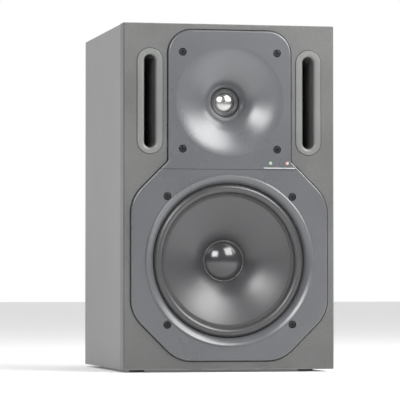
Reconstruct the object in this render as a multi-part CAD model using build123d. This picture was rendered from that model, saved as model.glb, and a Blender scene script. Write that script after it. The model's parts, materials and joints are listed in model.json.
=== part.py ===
from build123d import *
import os
from math import cos, radians, sin

os.makedirs("parts", exist_ok=True)

# Two-way powered monitor loudspeaker. Millimetres, +Z up, the baffle faces -Y,
# +X is to the right of someone who faces the baffle. The origin is under the
# middle of the whole loudspeaker, on the surface that it stands on.
# A "depth" is a distance behind the front face of the baffle, and a "height"
# is a distance above the underside of the cabinet.

# Cabinet
CABINET_WIDTH = 250.0
CABINET_HEIGHT = 400.0
CABINET_DEPTH = 260.0
PANEL_THICKNESS = 15.0
BAFFLE_THICKNESS = 20.0
BAFFLE_EDGE_ROUND = 3.0
FOOT_RADIUS = 9.0
FOOT_HEIGHT = 3.0
FOOT_INSET = 24.0

# Moulded front plates, which lie together in one keyhole-shaped recess
BEZEL_PROUD = 3.0
BEZEL_RECESS = 5.0
BEZEL_GAP = 1.0
BEZEL_EDGE_ROUND = 2.0
BEZEL_HALF_WIDTH = 116.5
BEZEL_BELOW_AXIS = 116.0
BEZEL_CORNER_LEG = 54.5
BEZEL_CORNER_ROUND = 42.0
BEZEL_SIDE_LENGTH = 133.0
NECK_ROUND = 4.0
SEAM_ABOVE_WOOFER = 105.5
SEAM_GAP = 0.4
TWEETER_PLATE_HALF_WIDTH = 73.0
TWEETER_PLATE_ABOVE_AXIS = 82.0
TWEETER_PLATE_CORNER_ROUND = 28.0

# Woofer, all radii from its axis
WOOFER_HEIGHT = 126.0
WOOFER_SCREW_OFFSET = 74.0
FLARE_OUTER_RADIUS = 100.0
FLARE_CREST_RADIUS = 98.0
FLARE_BORE_RADIUS = 89.5
FLARE_PROUD = 1.5
FLARE_OUTER_BEND = 2.1
FLANGE_RADIUS = 111.0
FLANGE_THICKNESS = 3.0
FLANGE_CLEARANCE = 0.5
GASKET_THICKNESS = 1.2
ROLL_OUTER_RADIUS = 89.2
ROLL_INNER_RADIUS = 78.0
ROLL_THICKNESS = 0.8
ROLL_LANDING = 4.5
CONE_RIM_WIDTH = 3.9
CONE_THICKNESS = 1.2
CONE_DEPTH = 33.0
CONE_SHOULDER = (57.0, 5.7)
CONE_WAIST = (39.0, 13.7)
CONE_RIM_SLOPE = 0.27
CONE_NECK_SLOPE = 1.7
DUST_CAP_RADIUS = 23.5
DUST_CAP_RISE = 9.0
DUST_CAP_THICKNESS = 0.8
WOOFER_COIL_RADIUS = 19.2
WOOFER_FORMER_WALL = 0.4
WOOFER_WINDING = 1.0
WOOFER_COIL_HEIGHT = 14.0
WOOFER_GAP_CLEARANCE = 0.6
SPIDER_DROP = 54.0
SPIDER_RADIUS = 54.0
SPIDER_LANDING = 6.0
SPIDER_THICKNESS = 0.6
SPIDER_RIDGE = 2.0
SPIDER_RIDGES = 5
SPIDER_GLUE_GAP = 0.1
SPIDER_NECK = 3.0
BASKET_DEPTH = 62.0
BASKET_WALL = 3.0
BASKET_MOUTH_RADIUS = 95.0
BASKET_SEAT_RADIUS = 59.0
BASKET_WINDOWS = 6
BASKET_WINDOW_ANGLE = 40.0
WOOFER_TOP_PLATE_RADIUS = 55.0
WOOFER_TOP_PLATE_THICKNESS = 7.0
WOOFER_MAGNET_RADIUS = 58.0
WOOFER_MAGNET_BORE = 30.0
WOOFER_MAGNET_THICKNESS = 18.0
WOOFER_YOKE_THICKNESS = 7.0
WOOFER_VENT_RADIUS = 6.0
BASKET_CUTOUT_CLEARANCE = 1.0

# Tweeter, all radii from its axis
TWEETER_ABOVE_WOOFER = 185.0
TWEETER_SCREW_OFFSET = 56.0
MOUTH_RADIUS = 64.0
BOWL_OUTER = (54.0, -1.2)
BOWL_MIDDLE = (42.0, 2.8)
BOWL_INNER = (28.0, 9.2)
BOWL_MOUTH_SLOPE = 0.08
BOWL_THROAT_SLOPE = 2.6
THROAT_RADIUS = 17.0
THROAT_DEPTH = 24.0
HORN_SEAT_RADIUS = 40.0
HORN_SEAT_DEPTH = 28.0
HORN_BACK_DEPTH = 9.0
HORN_CORE_INNER = 25.0
HORN_CORE_OUTER = 33.0
HORN_CORE_FACE = 16.5
HORN_NECK_RADIUS = 67.0
HORN_CLEARANCE = 1.0
DOME_RADIUS = 12.5
DOME_RISE = 4.2
DOME_THICKNESS = 0.4
DOME_RIM = 0.7
TWEETER_ROLL_THICKNESS = 0.4
TWEETER_ROLL_LANDING = 2.0
TWEETER_COIL_WALL = 0.3
TWEETER_WINDING = 0.4
TWEETER_COIL_HEIGHT = 3.0
TWEETER_GAP_CLEARANCE = 0.4
TWEETER_TOP_PLATE_RADIUS = 36.0
TWEETER_TOP_PLATE_THICKNESS = 4.0
TWEETER_MAGNET_RADIUS = 36.0
TWEETER_MAGNET_BORE = 18.0
TWEETER_MAGNET_THICKNESS = 12.0
TWEETER_YOKE_THICKNESS = 5.0

# Bass-reflex ports, one each side of the tweeter
PORT_OFFSET = 94.0
PORT_BELOW_TWEETER = 1.0
PORT_TRIM_WIDTH = 30.0
PORT_TRIM_LENGTH = 122.0
PORT_TRIM_PROUD = 1.0
PORT_TRIM_THICKNESS = 4.0
PORT_TRIM_ROUND = 0.9
PORT_OPENING_WIDTH = 13.0
PORT_OPENING_LENGTH = 107.0
PORT_LIP_ROUND = 3.5
PORT_WALL = 2.5
PORT_DEPTH = 125.0
PORT_CLEARANCE = 0.2
PORT_TRIM_GAP = 0.5

# Fasteners and lamps of the front
SCREW_HEAD_RADIUS = 4.2
SCREW_HEAD_HEIGHT = 2.6
SCREW_HEAD_CLEARANCE = 0.4
SCREW_HEAD_SUNK = 0.6
SCREW_SHANK_RADIUS = 2.1
SCREW_LENGTH = 19.0
CROSS_RECESS_LENGTH = 4.6
CROSS_RECESS_WIDTH = 1.1
CROSS_RECESS_DEPTH = 1.6
LAMP_RADIUS = 2.0
LAMP_PROUD = 0.8
LAMP_BEHIND = 9.0
LAMP_ABOVE_SEAM = 7.5
POWER_LAMP_X = 48.0
LIMIT_LAMP_X = 68.0

# Amplifier plate on the back, and what is fixed to it
PLATE_WIDTH = 200.0
PLATE_HEIGHT = 310.0
PLATE_THICKNESS = 3.0
PLATE_CORNER = 6.0
PLATE_OVERLAP = 9.0
PLATE_SCREW_INSET = 5.0
PLATE_SCREW_HEAD = 3.4
PLATE_SCREW_HEAD_HEIGHT = 2.0
PLATE_SCREW_SHANK = 1.8
PLATE_SCREW_LENGTH = 12.0
HEAT_SINK_WIDTH = 160.0
HEAT_SINK_HEIGHT = 110.0
HEAT_SINK_PROUD = 22.5
HEAT_SINK_BASE = 4.0
HEAT_SINK_FINS = 15
HEAT_SINK_FIN = 1.8
HEAT_SINK_TOP_MARGIN = 14.0
BOARD_WIDTH = 160.0
BOARD_HEIGHT = 150.0
BOARD_THICKNESS = 1.6
BOARD_STANDOFF = 30.0
BOARD_TOP_MARGIN = 12.0
SPACER_RADIUS = 3.5
SPACER_INSET = 7.0
TRANSISTOR_SIZE = (16.0, 5.0, 21.0)
TRANSISTOR_PITCH = 36.0
TRANSISTOR_COUNT = 4
CAPACITOR_RADIUS = 15.0
CAPACITOR_LENGTH = 40.0
CAPACITOR_PITCH = 44.0
CAPACITOR_EDGE_ROUND = 1.5
TRANSFORMER_RADIUS = 42.0
TRANSFORMER_HOLE = 14.0
TRANSFORMER_THICKNESS = 36.0
TRANSFORMER_X = 46.0
TRANSFORMER_UP = 56.0
TRANSFORMER_DISC = 2.5
BOLT_RADIUS = 3.0
BOLT_HEAD_ACROSS = 10.0
BOLT_HEAD_HEIGHT = 4.0

# Inlet, switches, sockets and controls, placed from the plate's bottom edge
LOWER_ROW_UP = 45.0
SOCKET_ROW_UP = 115.0
SWITCH_ROW_UP = 160.0
INLET_X = -58.0
INLET_FLANGE = (31.0, 47.0, 2.5)
INLET_BODY = (27.0, 42.0, 28.0)
INLET_CAVITY = (24.6, 17.0, 17.0)
INLET_CAVITY_UP = 9.5
INLET_CAVITY_CHAMFER = 4.0
INLET_PIN = (2.0, 4.0, 14.0)
INLET_PIN_SPREAD = 7.0
INLET_EARTH_UP = 4.0
FUSE_SLOT = (20.0, 8.4, 25.0)
FUSE_SLOT_DOWN = 13.5
FUSE_CLEARANCE = 0.3
FUSE_FACE = (22.0, 10.0, 2.0)
FUSE_RADIUS = 2.6
FUSE_LENGTH = 20.0
FUSE_TRAY_WIDTH = 5.8
ROCKER_X = -10.0
ROCKER_FRAME = (15.0, 21.0, 1.8)
ROCKER_BODY = (12.8, 18.8, 16.0)
ROCKER_OPENING = (10.6, 17.4, 11.0)
ROCKER_WIDTH = 10.0
ROCKER_HALF_HEIGHT = 7.5
ROCKER_LOBE = 4.6
ROCKER_WAIST = 2.8
ROCKER_BACK = 5.0
ROCKER_TILT = 10.0
ROCKER_PIN_RADIUS = 1.0
ROCKER_PIN_CLEARANCE = 0.06
ROCKER_PIN_PROUD = 0.8
ROCKER_PIN_SEAT = 1.0
XLR_X = 18.0
XLR_FLANGE = (26.0, 31.0, 2.2)
XLR_FLANGE_CORNER = 3.0
XLR_BARREL_RADIUS = 11.9
XLR_BARREL_DEPTH = 20.0
XLR_GROOVE_OUTER = 9.8
XLR_GROOVE_INNER = 7.6
XLR_GROOVE_DEPTH = 15.0
XLR_CONTACT_RADIUS = 1.3
XLR_CONTACT_CIRCLE = 4.4
XLR_CONTACT_DEPTH = 12.0
XLR_LATCH = (7.0, 4.0, 5.0)
XLR_LATCH_UP = 12.4
XLR_LATCH_PROUD = 2.0
XLR_LATCH_TRAVEL = 1.6
XLR_LATCH_CLEARANCE = 0.2
XLR_LATCH_WALL = 0.8
XLR_LATCH_ROUND = 0.8
JACK_X = -38.0
JACK_BORE_RADIUS = 3.25
JACK_SLEEVE_RADIUS = 5.5
JACK_SLEEVE_PROUD = 4.0
JACK_NUT_ACROSS = 14.0
JACK_NUT_THICKNESS = 2.5
JACK_BODY = (16.0, 16.0, 24.0)
TRIM_X = 68.0
TRIM_BODY_RADIUS = 8.0
TRIM_BODY_DEPTH = 11.0
TRIM_BUSH_RADIUS = 3.5
TRIM_BUSH_PROUD = 3.5
TRIM_SHAFT_RADIUS = 2.0
TRIM_SHAFT_CLEARANCE = 0.06
TRIM_KNOB_RADIUS = 8.0
TRIM_KNOB_HEIGHT = 13.0
TRIM_KNOB_GAP = 0.8
TRIM_KNOB_HOLLOW = 4.0
TRIM_KNOB_HOLLOW_DEPTH = 3.4
TRIM_KNOB_ROUND = 1.0
TRIM_GROOVE_WIDTH = 1.2
TRIM_GROOVE_DEPTH = 0.8
TRIM_SHAFT_START = 2.0
SLIDE_SWITCHES = {"low_frequency_slider": 55.0, "room_slider": 0.0, "high_frequency_slider": -55.0}
SLIDE_FRAME = (19.0, 9.0, 1.2)
SLIDE_BODY = (15.0, 7.0, 9.0)
SLIDE_SLOT = (10.0, 4.6, 6.0)
SLIDER = (4.6, 4.2, 5.0)
SLIDER_PROUD = 2.2

# Lining, terminals and leads inside
FOAM_THICKNESS = 18.0
FOAM_GAP = 1.0
FOAM_FRONT_DEPTH = 34.0
FOAM_REAR_GAP = 40.0
FOAM_SIDE_HEIGHT = 205.0
FOAM_TOP_WIDTH = 150.0
TERMINAL_BLOCK = (14.0, 12.0, 8.0)
TERMINAL_BLADE = (0.8, 7.0, 4.8)
LEAD_RADIUS = 2.0
LEAD_BEND = 10.0

# Derived places
OVERALL_DEPTH = FLARE_PROUD + BEZEL_PROUD + CABINET_DEPTH + PLATE_THICKNESS + HEAT_SINK_PROUD
BAFFLE_FACE_Y = FLARE_PROUD + BEZEL_PROUD - OVERALL_DEPTH / 2
HALF_WIDTH = CABINET_WIDTH / 2
CABINET_BOTTOM = FOOT_HEIGHT
CABINET_TOP = FOOT_HEIGHT + CABINET_HEIGHT
WOOFER_Z = CABINET_BOTTOM + WOOFER_HEIGHT
TWEETER_Z = WOOFER_Z + TWEETER_ABOVE_WOOFER
SEAM_Z = WOOFER_Z + SEAM_ABOVE_WOOFER
PORT_Z = TWEETER_Z - PORT_BELOW_TWEETER
BEZEL_BOTTOM = WOOFER_Z - BEZEL_BELOW_AXIS

SURROUND_FACE = BEZEL_RECESS + GASKET_THICKNESS
FLANGE_FACE = SURROUND_FACE + ROLL_THICKNESS
FLANGE_BACK = FLANGE_FACE + FLANGE_THICKNESS
CONE_RIM_RADIUS = ROLL_INNER_RADIUS + CONE_THICKNESS / 3
CONE_NECK_DEPTH = FLANGE_FACE + CONE_DEPTH
BASKET_BACK = FLANGE_BACK + BASKET_DEPTH
SPIDER_DEPTH = FLANGE_FACE + SPIDER_DROP
WOOFER_MAGNET_FACE = BASKET_BACK + WOOFER_TOP_PLATE_THICKNESS
WOOFER_YOKE_FACE = WOOFER_MAGNET_FACE + WOOFER_MAGNET_THICKNESS
WOOFER_GAP_DEPTH = BASKET_BACK + WOOFER_TOP_PLATE_THICKNESS / 2
WOOFER_WINDING_RADIUS = WOOFER_COIL_RADIUS + WOOFER_WINDING
WOOFER_POLE_RADIUS = WOOFER_COIL_RADIUS - WOOFER_FORMER_WALL - WOOFER_GAP_CLEARANCE

TWEETER_MAGNET_FACE = HORN_SEAT_DEPTH + TWEETER_TOP_PLATE_THICKNESS
TWEETER_YOKE_FACE = TWEETER_MAGNET_FACE + TWEETER_MAGNET_THICKNESS
TWEETER_LANDING_FACE = HORN_SEAT_DEPTH - TWEETER_ROLL_THICKNESS
TWEETER_COIL_OUTER = DOME_RADIUS + TWEETER_COIL_WALL + TWEETER_WINDING

PLATE_FACE = CABINET_DEPTH + PLATE_THICKNESS
PLATE_Z = CABINET_BOTTOM + CABINET_HEIGHT / 2
PLATE_BOTTOM = PLATE_Z - PLATE_HEIGHT / 2
PLATE_TOP = PLATE_Z + PLATE_HEIGHT / 2
LOWER_ROW_Z = PLATE_BOTTOM + LOWER_ROW_UP
SOCKET_ROW_Z = PLATE_BOTTOM + SOCKET_ROW_UP
SWITCH_ROW_Z = PLATE_BOTTOM + SWITCH_ROW_UP
TRANSFORMER_Z = PLATE_BOTTOM + TRANSFORMER_UP
HEAT_SINK_Z = PLATE_TOP - HEAT_SINK_TOP_MARGIN - HEAT_SINK_HEIGHT / 2
BOARD_DEPTH = CABINET_DEPTH - BOARD_STANDOFF
BOARD_Z = PLATE_TOP - PLATE_OVERLAP - BOARD_TOP_MARGIN - BOARD_HEIGHT / 2
CAPACITOR_Z = BOARD_Z - BOARD_HEIGHT / 4
TRANSISTOR_Z = BOARD_Z + BOARD_HEIGHT / 4

CORNERS = [(x, z) for x in (-1, 1) for z in (-1, 1)]


def y_at(depth):
    """Row Y of a plane at a depth behind the baffle's front face."""
    return BAFFLE_FACE_Y + depth


def slab(outline, near, far):
    """Solid whose outline is drawn in x and z, between two depths."""
    plane = Plane(origin=(0, y_at(far), 0), x_dir=(1, 0, 0), z_dir=(0, -1, 0))
    return extrude(plane * outline, amount=far - near)


def block(x, z, size, near):
    """Box of (width, height, depth), centred on x and z, whose front is at a depth."""
    width, height, depth = size
    return slab(Pos(x, z) * Rectangle(width, height), near, near + depth)


def rod(x, z, radius, near, far):
    """Round bar along Y between two depths."""
    return slab(Pos(x, z) * Circle(radius), near, far)


def outline(points):
    """Closed face with straight sides."""
    return make_face(Polyline(*points, close=True))


def turned(face, z):
    """Solid of revolution from a face drawn as (radius, depth), about a driver's axis."""
    return Pos(0, y_at(0), z) * revolve(face, Axis.Y)


def ring(z, inner, outer, near, far):
    """Plain washer round a driver's axis."""
    return slab(Pos(0, z) * (Circle(outer) - Circle(inner)), near, far)


def obround(x, z, width, length):
    """Upright slot outline with round ends."""
    return Pos(x, z) * SlotOverall(length, width, rotation=90)


def front_edges(part):
    """Edges round the foremost flat face of a part."""
    return part.faces().sort_by(Axis.Y)[0].outer_wire().edges()


def group(solids):
    """Several separate solids as one node."""
    return Part() + solids


# ---------------------------------------------------------------- cabinet
def wrap_panel(points):
    """One of the four mitred boards between the baffle and the cabinet's back."""
    return slab(outline(points), BAFFLE_THICKNESS, CABINET_DEPTH)


def side_panel(side):
    outer, inner = side * HALF_WIDTH, side * (HALF_WIDTH - PANEL_THICKNESS)
    low, high = CABINET_BOTTOM, CABINET_TOP
    return wrap_panel(
        [(outer, low), (outer, high), (inner, high - PANEL_THICKNESS), (inner, low + PANEL_THICKNESS)]
    )


def end_panel(outer, inner):
    """Top or bottom board, given the heights of its outer and inner faces."""
    half = HALF_WIDTH - PANEL_THICKNESS
    return wrap_panel([(-HALF_WIDTH, outer), (HALF_WIDTH, outer), (half, inner), (-half, inner)])


def rear_panel():
    width = CABINET_WIDTH - 2 * PANEL_THICKNESS
    height = CABINET_HEIGHT - 2 * PANEL_THICKNESS
    window = Rectangle(PLATE_WIDTH - 2 * PLATE_OVERLAP, PLATE_HEIGHT - 2 * PLATE_OVERLAP)
    board = slab(
        Pos(0, PLATE_Z) * (Rectangle(width, height) - window),
        CABINET_DEPTH - PANEL_THICKNESS,
        CABINET_DEPTH,
    )
    return board - plate_screw_shanks()


def keyhole():
    """Shared outline of the tweeter plate and the woofer bezel."""
    side_low = BEZEL_BOTTOM + BEZEL_CORNER_LEG
    side_high = side_low + BEZEL_SIDE_LENGTH
    neck_z = side_high + BEZEL_HALF_WIDTH - TWEETER_PLATE_HALF_WIDTH
    top = TWEETER_Z + TWEETER_PLATE_ABOVE_AXIS
    right = [
        (BEZEL_HALF_WIDTH - BEZEL_CORNER_LEG, BEZEL_BOTTOM),
        (BEZEL_HALF_WIDTH, side_low),
        (BEZEL_HALF_WIDTH, side_high),
        (TWEETER_PLATE_HALF_WIDTH, neck_z),
        (TWEETER_PLATE_HALF_WIDTH, top),
    ]
    face = outline(right + [(-x, z) for x, z in reversed(right)])
    corners = face.vertices()
    for radius, low, high in [
        (BEZEL_CORNER_ROUND, BEZEL_BOTTOM - 1, side_high + 1),
        (NECK_ROUND, neck_z - 1, neck_z + 1),
        (TWEETER_PLATE_CORNER_ROUND, top - 1, top + 1),
    ]:
        chosen = [v for v in face.vertices() if low < v.Y < high and is_corner(v, corners)]
        face = fillet(chosen, radius)
    return face


SAME_PLACE = 0.01


def is_corner(vertex, corners):
    """True when a vertex is one of the outline's first, sharp corners."""
    return any((Vector(vertex) - Vector(c)).length < SAME_PLACE for c in corners)


def front_baffle():
    board = slab(
        Pos(0, CABINET_BOTTOM + CABINET_HEIGHT / 2) * Rectangle(CABINET_WIDTH, CABINET_HEIGHT),
        0,
        BAFFLE_THICKNESS,
    )
    upright = board.edges().filter_by(Axis.Z).group_by(Axis.Y)[0]
    board = fillet(upright, BAFFLE_EDGE_ROUND)
    board -= slab(offset(keyhole(), BEZEL_GAP), 0, BEZEL_RECESS)
    board -= rod(0, WOOFER_Z, FLANGE_RADIUS + FLANGE_CLEARANCE, BEZEL_RECESS, FLANGE_BACK)
    cutout = BASKET_MOUTH_RADIUS + BASKET_CUTOUT_CLEARANCE
    board -= rod(0, WOOFER_Z, cutout, FLANGE_BACK, BAFFLE_THICKNESS)
    horn = HORN_NECK_RADIUS + HORN_CLEARANCE
    board -= rod(0, TWEETER_Z, horn, BEZEL_RECESS, BAFFLE_THICKNESS)
    for side in (-1, 1):
        board -= port_cutout(side)
    for x, z in driver_screw_places():
        board -= rod(x, z, SCREW_SHANK_RADIUS, BEZEL_RECESS, screw_tip())
    for x in (POWER_LAMP_X, LIMIT_LAMP_X):
        board -= rod(x, SEAM_Z + LAMP_ABOVE_SEAM, LAMP_RADIUS, BEZEL_RECESS, lamp_back())
    return board


def rubber_feet():
    x = HALF_WIDTH - FOOT_INSET
    near, far = y_at(BAFFLE_THICKNESS + FOOT_INSET), y_at(CABINET_DEPTH - FOOT_INSET)
    foot = Cylinder(FOOT_RADIUS, FOOT_HEIGHT, align=(Align.CENTER, Align.CENTER, Align.MIN))
    return group([Pos(side * x, y, 0) * foot for side in (-1, 1) for y in (near, far)])


def damping_foam():
    """Open-cell lining on the floor, the side walls and under the top."""
    length = CABINET_DEPTH - PANEL_THICKNESS - FOAM_REAR_GAP - FOAM_FRONT_DEPTH
    inner = HALF_WIDTH - PANEL_THICKNESS
    floor_z = CABINET_BOTTOM + PANEL_THICKNESS + FOAM_THICKNESS / 2
    ceiling_z = CABINET_TOP - PANEL_THICKNESS - FOAM_THICKNESS / 2
    side_z = floor_z + (FOAM_THICKNESS + FOAM_SIDE_HEIGHT) / 2 + FOAM_GAP
    side_x = inner - FOAM_THICKNESS / 2
    side_size = (FOAM_THICKNESS, FOAM_SIDE_HEIGHT, length)
    return group(
        [
            block(0, floor_z, (2 * inner, FOAM_THICKNESS, length), FOAM_FRONT_DEPTH),
            block(0, ceiling_z, (FOAM_TOP_WIDTH, FOAM_THICKNESS, length), FOAM_FRONT_DEPTH),
            block(-side_x, side_z, side_size, FOAM_FRONT_DEPTH),
            block(side_x, side_z, side_size, FOAM_FRONT_DEPTH),
        ]
    )


# ------------------------------------------------------------ bass ports
def port_cutout(side):
    """Recess for the port's trim, and the slot for its duct."""
    x = side * PORT_OFFSET
    recess = obround(
        x, PORT_Z, PORT_TRIM_WIDTH + 2 * PORT_TRIM_GAP, PORT_TRIM_LENGTH + 2 * PORT_TRIM_GAP
    )
    wide = PORT_OPENING_WIDTH + 2 * PORT_WALL + PORT_CLEARANCE
    long = PORT_OPENING_LENGTH + 2 * PORT_WALL + PORT_CLEARANCE
    trim_back = PORT_TRIM_THICKNESS - PORT_TRIM_PROUD
    slot = slab(obround(x, PORT_Z, wide, long), trim_back, BAFFLE_THICKNESS)
    return slab(recess, 0, trim_back) + slot


def port_duct(side):
    """Moulded duct with a rounded trim ring and a flared lip."""
    x = side * PORT_OFFSET
    trim_back = PORT_TRIM_THICKNESS - PORT_TRIM_PROUD
    trim = slab(obround(x, PORT_Z, PORT_TRIM_WIDTH, PORT_TRIM_LENGTH), -PORT_TRIM_PROUD, trim_back)
    trim = fillet(front_edges(trim), PORT_TRIM_ROUND)
    wide, long = PORT_OPENING_WIDTH, PORT_OPENING_LENGTH
    wall = slab(
        obround(x, PORT_Z, wide + 2 * PORT_WALL, long + 2 * PORT_WALL), trim_back, PORT_DEPTH
    )
    part = trim + wall - slab(obround(x, PORT_Z, wide, long), -PORT_TRIM_PROUD, PORT_DEPTH)
    lip = part.faces().filter_by(Axis.Y).sort_by(Axis.Y)[0].inner_wires()[0].edges()
    return fillet(lip, PORT_LIP_ROUND)


# --------------------------------------------------- front plates and screws
def driver_screw_places():
    woofer = [(x * WOOFER_SCREW_OFFSET, WOOFER_Z + z * WOOFER_SCREW_OFFSET) for x, z in CORNERS]
    return woofer + tweeter_screw_places()


def tweeter_screw_places():
    return [(x * TWEETER_SCREW_OFFSET, TWEETER_Z + z * TWEETER_SCREW_OFFSET) for x, z in CORNERS]


def screw_head_face():
    """Depth of the top of a front screw's head, sunk a little in its plate."""
    return SCREW_HEAD_SUNK - BEZEL_PROUD


def screw_tip():
    return screw_head_face() + SCREW_HEAD_HEIGHT + SCREW_LENGTH


def lamp_back():
    return LAMP_BEHIND - BEZEL_PROUD


def front_screw(x, z):
    """Cross-recess pan-head wood screw."""
    face = screw_head_face()
    head = rod(x, z, SCREW_HEAD_RADIUS, face, face + SCREW_HEAD_HEIGHT)
    head = fillet(front_edges(head), SCREW_HEAD_HEIGHT / 2)
    shank = rod(x, z, SCREW_SHANK_RADIUS, face + SCREW_HEAD_HEIGHT, screw_tip())
    slot = Rectangle(CROSS_RECESS_LENGTH, CROSS_RECESS_WIDTH)
    cross = Pos(x, z) * (slot + Rot(0, 0, 90) * slot)
    return head + shank - slab(cross, face, face + CROSS_RECESS_DEPTH)


def screw_seat(x, z):
    """Counterbore and clearance for one front screw in a front plate."""
    radius = SCREW_HEAD_RADIUS + SCREW_HEAD_CLEARANCE
    head_back = screw_head_face() + SCREW_HEAD_HEIGHT
    return rod(x, z, radius, -BEZEL_PROUD, head_back) + rod(
        x, z, SCREW_SHANK_RADIUS, head_back, FLANGE_BACK
    )


def front_plate(low, high):
    """The part of the raised keyhole between two heights, with its outer edge rounded."""
    whole = slab(keyhole(), -BEZEL_PROUD, BEZEL_RECESS)
    whole = fillet(front_edges(whole), BEZEL_EDGE_ROUND)
    span = Pos(0, (low + high) / 2) * Rectangle(CABINET_WIDTH, high - low)
    return whole & slab(span, -BEZEL_PROUD, BEZEL_RECESS)


def tweeter_waveguide():
    plate = front_plate(SEAM_Z + SEAM_GAP / 2, CABINET_TOP)
    body = turned(
        outline(
            [
                (0, 0),
                (HORN_NECK_RADIUS, 0),
                (HORN_NECK_RADIUS, BEZEL_RECESS),
                (HORN_SEAT_RADIUS, HORN_BACK_DEPTH),
                (HORN_SEAT_RADIUS, HORN_SEAT_DEPTH),
                (0, HORN_SEAT_DEPTH),
            ]
        ),
        TWEETER_Z,
    )
    plate = plate + body - bowl()
    plate -= ring(TWEETER_Z, HORN_CORE_INNER, HORN_CORE_OUTER, HORN_CORE_FACE, HORN_SEAT_DEPTH)
    landing = THROAT_RADIUS + TWEETER_ROLL_LANDING
    plate -= rod(0, TWEETER_Z, landing, TWEETER_LANDING_FACE, HORN_SEAT_DEPTH)
    for x, z in tweeter_screw_places():
        plate -= screw_seat(x, z)
    for x in (POWER_LAMP_X, LIMIT_LAMP_X):
        plate -= rod(x, SEAM_Z + LAMP_ABOVE_SEAM, LAMP_RADIUS, -BEZEL_PROUD, lamp_back())
    return plate


def bowl():
    """Space inside the waveguide: a flare that steepens from the mouth to the throat."""
    curve = Spline(
        (MOUTH_RADIUS, -BEZEL_PROUD),
        BOWL_OUTER,
        BOWL_MIDDLE,
        BOWL_INNER,
        (THROAT_RADIUS, THROAT_DEPTH),
        tangents=((-1, BOWL_MOUTH_SLOPE), (-1, BOWL_THROAT_SLOPE)),
    )
    rest = Polyline(
        (THROAT_RADIUS, THROAT_DEPTH),
        (THROAT_RADIUS, HORN_SEAT_DEPTH),
        (0, HORN_SEAT_DEPTH),
        (0, -BEZEL_PROUD),
        (MOUTH_RADIUS, -BEZEL_PROUD),
    )
    return turned(make_face(curve + rest), TWEETER_Z)


def woofer_bezel():
    plate = front_plate(CABINET_BOTTOM, SEAM_Z - SEAM_GAP / 2)
    crest = (FLARE_CREST_RADIUS, -BEZEL_PROUD - FLARE_PROUD)
    outer = RadiusArc((FLARE_OUTER_RADIUS, -BEZEL_PROUD), crest, FLARE_OUTER_BEND)
    inner = ThreePointArc(crest, flare_middle(), (FLARE_BORE_RADIUS, BEZEL_RECESS - 1))
    back = Polyline(
        (FLARE_BORE_RADIUS, BEZEL_RECESS - 1),
        (FLARE_BORE_RADIUS, BEZEL_RECESS),
        (FLARE_OUTER_RADIUS, BEZEL_RECESS),
        (FLARE_OUTER_RADIUS, -BEZEL_PROUD),
    )
    flare = turned(make_face(outer + inner + back), WOOFER_Z)
    plate -= rod(0, WOOFER_Z, FLARE_OUTER_RADIUS - 1, -BEZEL_PROUD, BEZEL_RECESS)
    plate += flare
    for x, z in driver_screw_places()[:4]:
        plate -= screw_seat(x, z)
    return plate


def flare_middle():
    """Point half way down the flare's inner face, bulged towards the listener."""
    radius = (FLARE_CREST_RADIUS + FLARE_BORE_RADIUS) / 2
    depth = (BEZEL_RECESS - 1 - BEZEL_PROUD - FLARE_PROUD) / 2
    bulge = (FLARE_CREST_RADIUS - FLARE_BORE_RADIUS) / 8
    return (radius - bulge, depth - bulge)


def lamp(x):
    """Light pipe with a domed tip, pressed through the tweeter plate."""
    z = SEAM_Z + LAMP_ABOVE_SEAM
    pipe = rod(x, z, LAMP_RADIUS, -BEZEL_PROUD - LAMP_PROUD, lamp_back())
    return fillet(front_edges(pipe), LAMP_PROUD)


# ----------------------------------------------------------------- woofer
def woofer_gasket():
    landing = ROLL_OUTER_RADIUS + ROLL_LANDING
    gasket = turned(
        outline(
            [
                (ROLL_OUTER_RADIUS + 1, BEZEL_RECESS),
                (FLANGE_RADIUS, BEZEL_RECESS),
                (FLANGE_RADIUS, FLANGE_FACE),
                (landing, FLANGE_FACE),
                (landing, SURROUND_FACE),
                (ROLL_OUTER_RADIUS + 1, SURROUND_FACE),
            ]
        ),
        WOOFER_Z,
    )
    for x, z in driver_screw_places()[:4]:
        gasket -= rod(x, z, SCREW_SHANK_RADIUS, BEZEL_RECESS, FLANGE_FACE)
    return gasket


def woofer_surround():
    """Half-roll rubber surround with a flat landing inside and outside."""
    middle = (ROLL_OUTER_RADIUS + ROLL_INNER_RADIUS) / 2
    outer_r = (ROLL_OUTER_RADIUS - ROLL_INNER_RADIUS) / 2
    inner_r = outer_r - ROLL_THICKNESS
    face, back = SURROUND_FACE, FLANGE_FACE
    crest = ThreePointArc(
        (ROLL_OUTER_RADIUS, face), (middle, face - outer_r), (ROLL_INNER_RADIUS, face)
    )
    hollow = ThreePointArc(
        (middle - inner_r, face), (middle, face - inner_r), (middle + inner_r, face)
    )
    inner_edge = CONE_RIM_RADIUS - CONE_RIM_WIDTH
    inside = Polyline(
        (ROLL_INNER_RADIUS, face), (inner_edge, face), (inner_edge, back),
        (middle - inner_r, back), (middle - inner_r, face),
    )
    landing = ROLL_OUTER_RADIUS + ROLL_LANDING
    outside = Polyline(
        (middle + inner_r, face), (middle + inner_r, back), (landing, back),
        (landing, face), (ROLL_OUTER_RADIUS, face),
    )
    return turned(make_face(crest + inside + hollow + outside), WOOFER_Z)


def cone_line(shift):
    """Curved wall of the cone, steeper towards the neck, moved back by a distance."""
    start = FLANGE_FACE + shift
    return Spline(
        (CONE_RIM_RADIUS - CONE_RIM_WIDTH, start),
        (CONE_SHOULDER[0], start + CONE_SHOULDER[1]),
        (CONE_WAIST[0], start + CONE_WAIST[1]),
        (WOOFER_COIL_RADIUS, CONE_NECK_DEPTH + shift),
        tangents=((-1, CONE_RIM_SLOPE), (-1, CONE_NECK_SLOPE)),
    )


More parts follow.
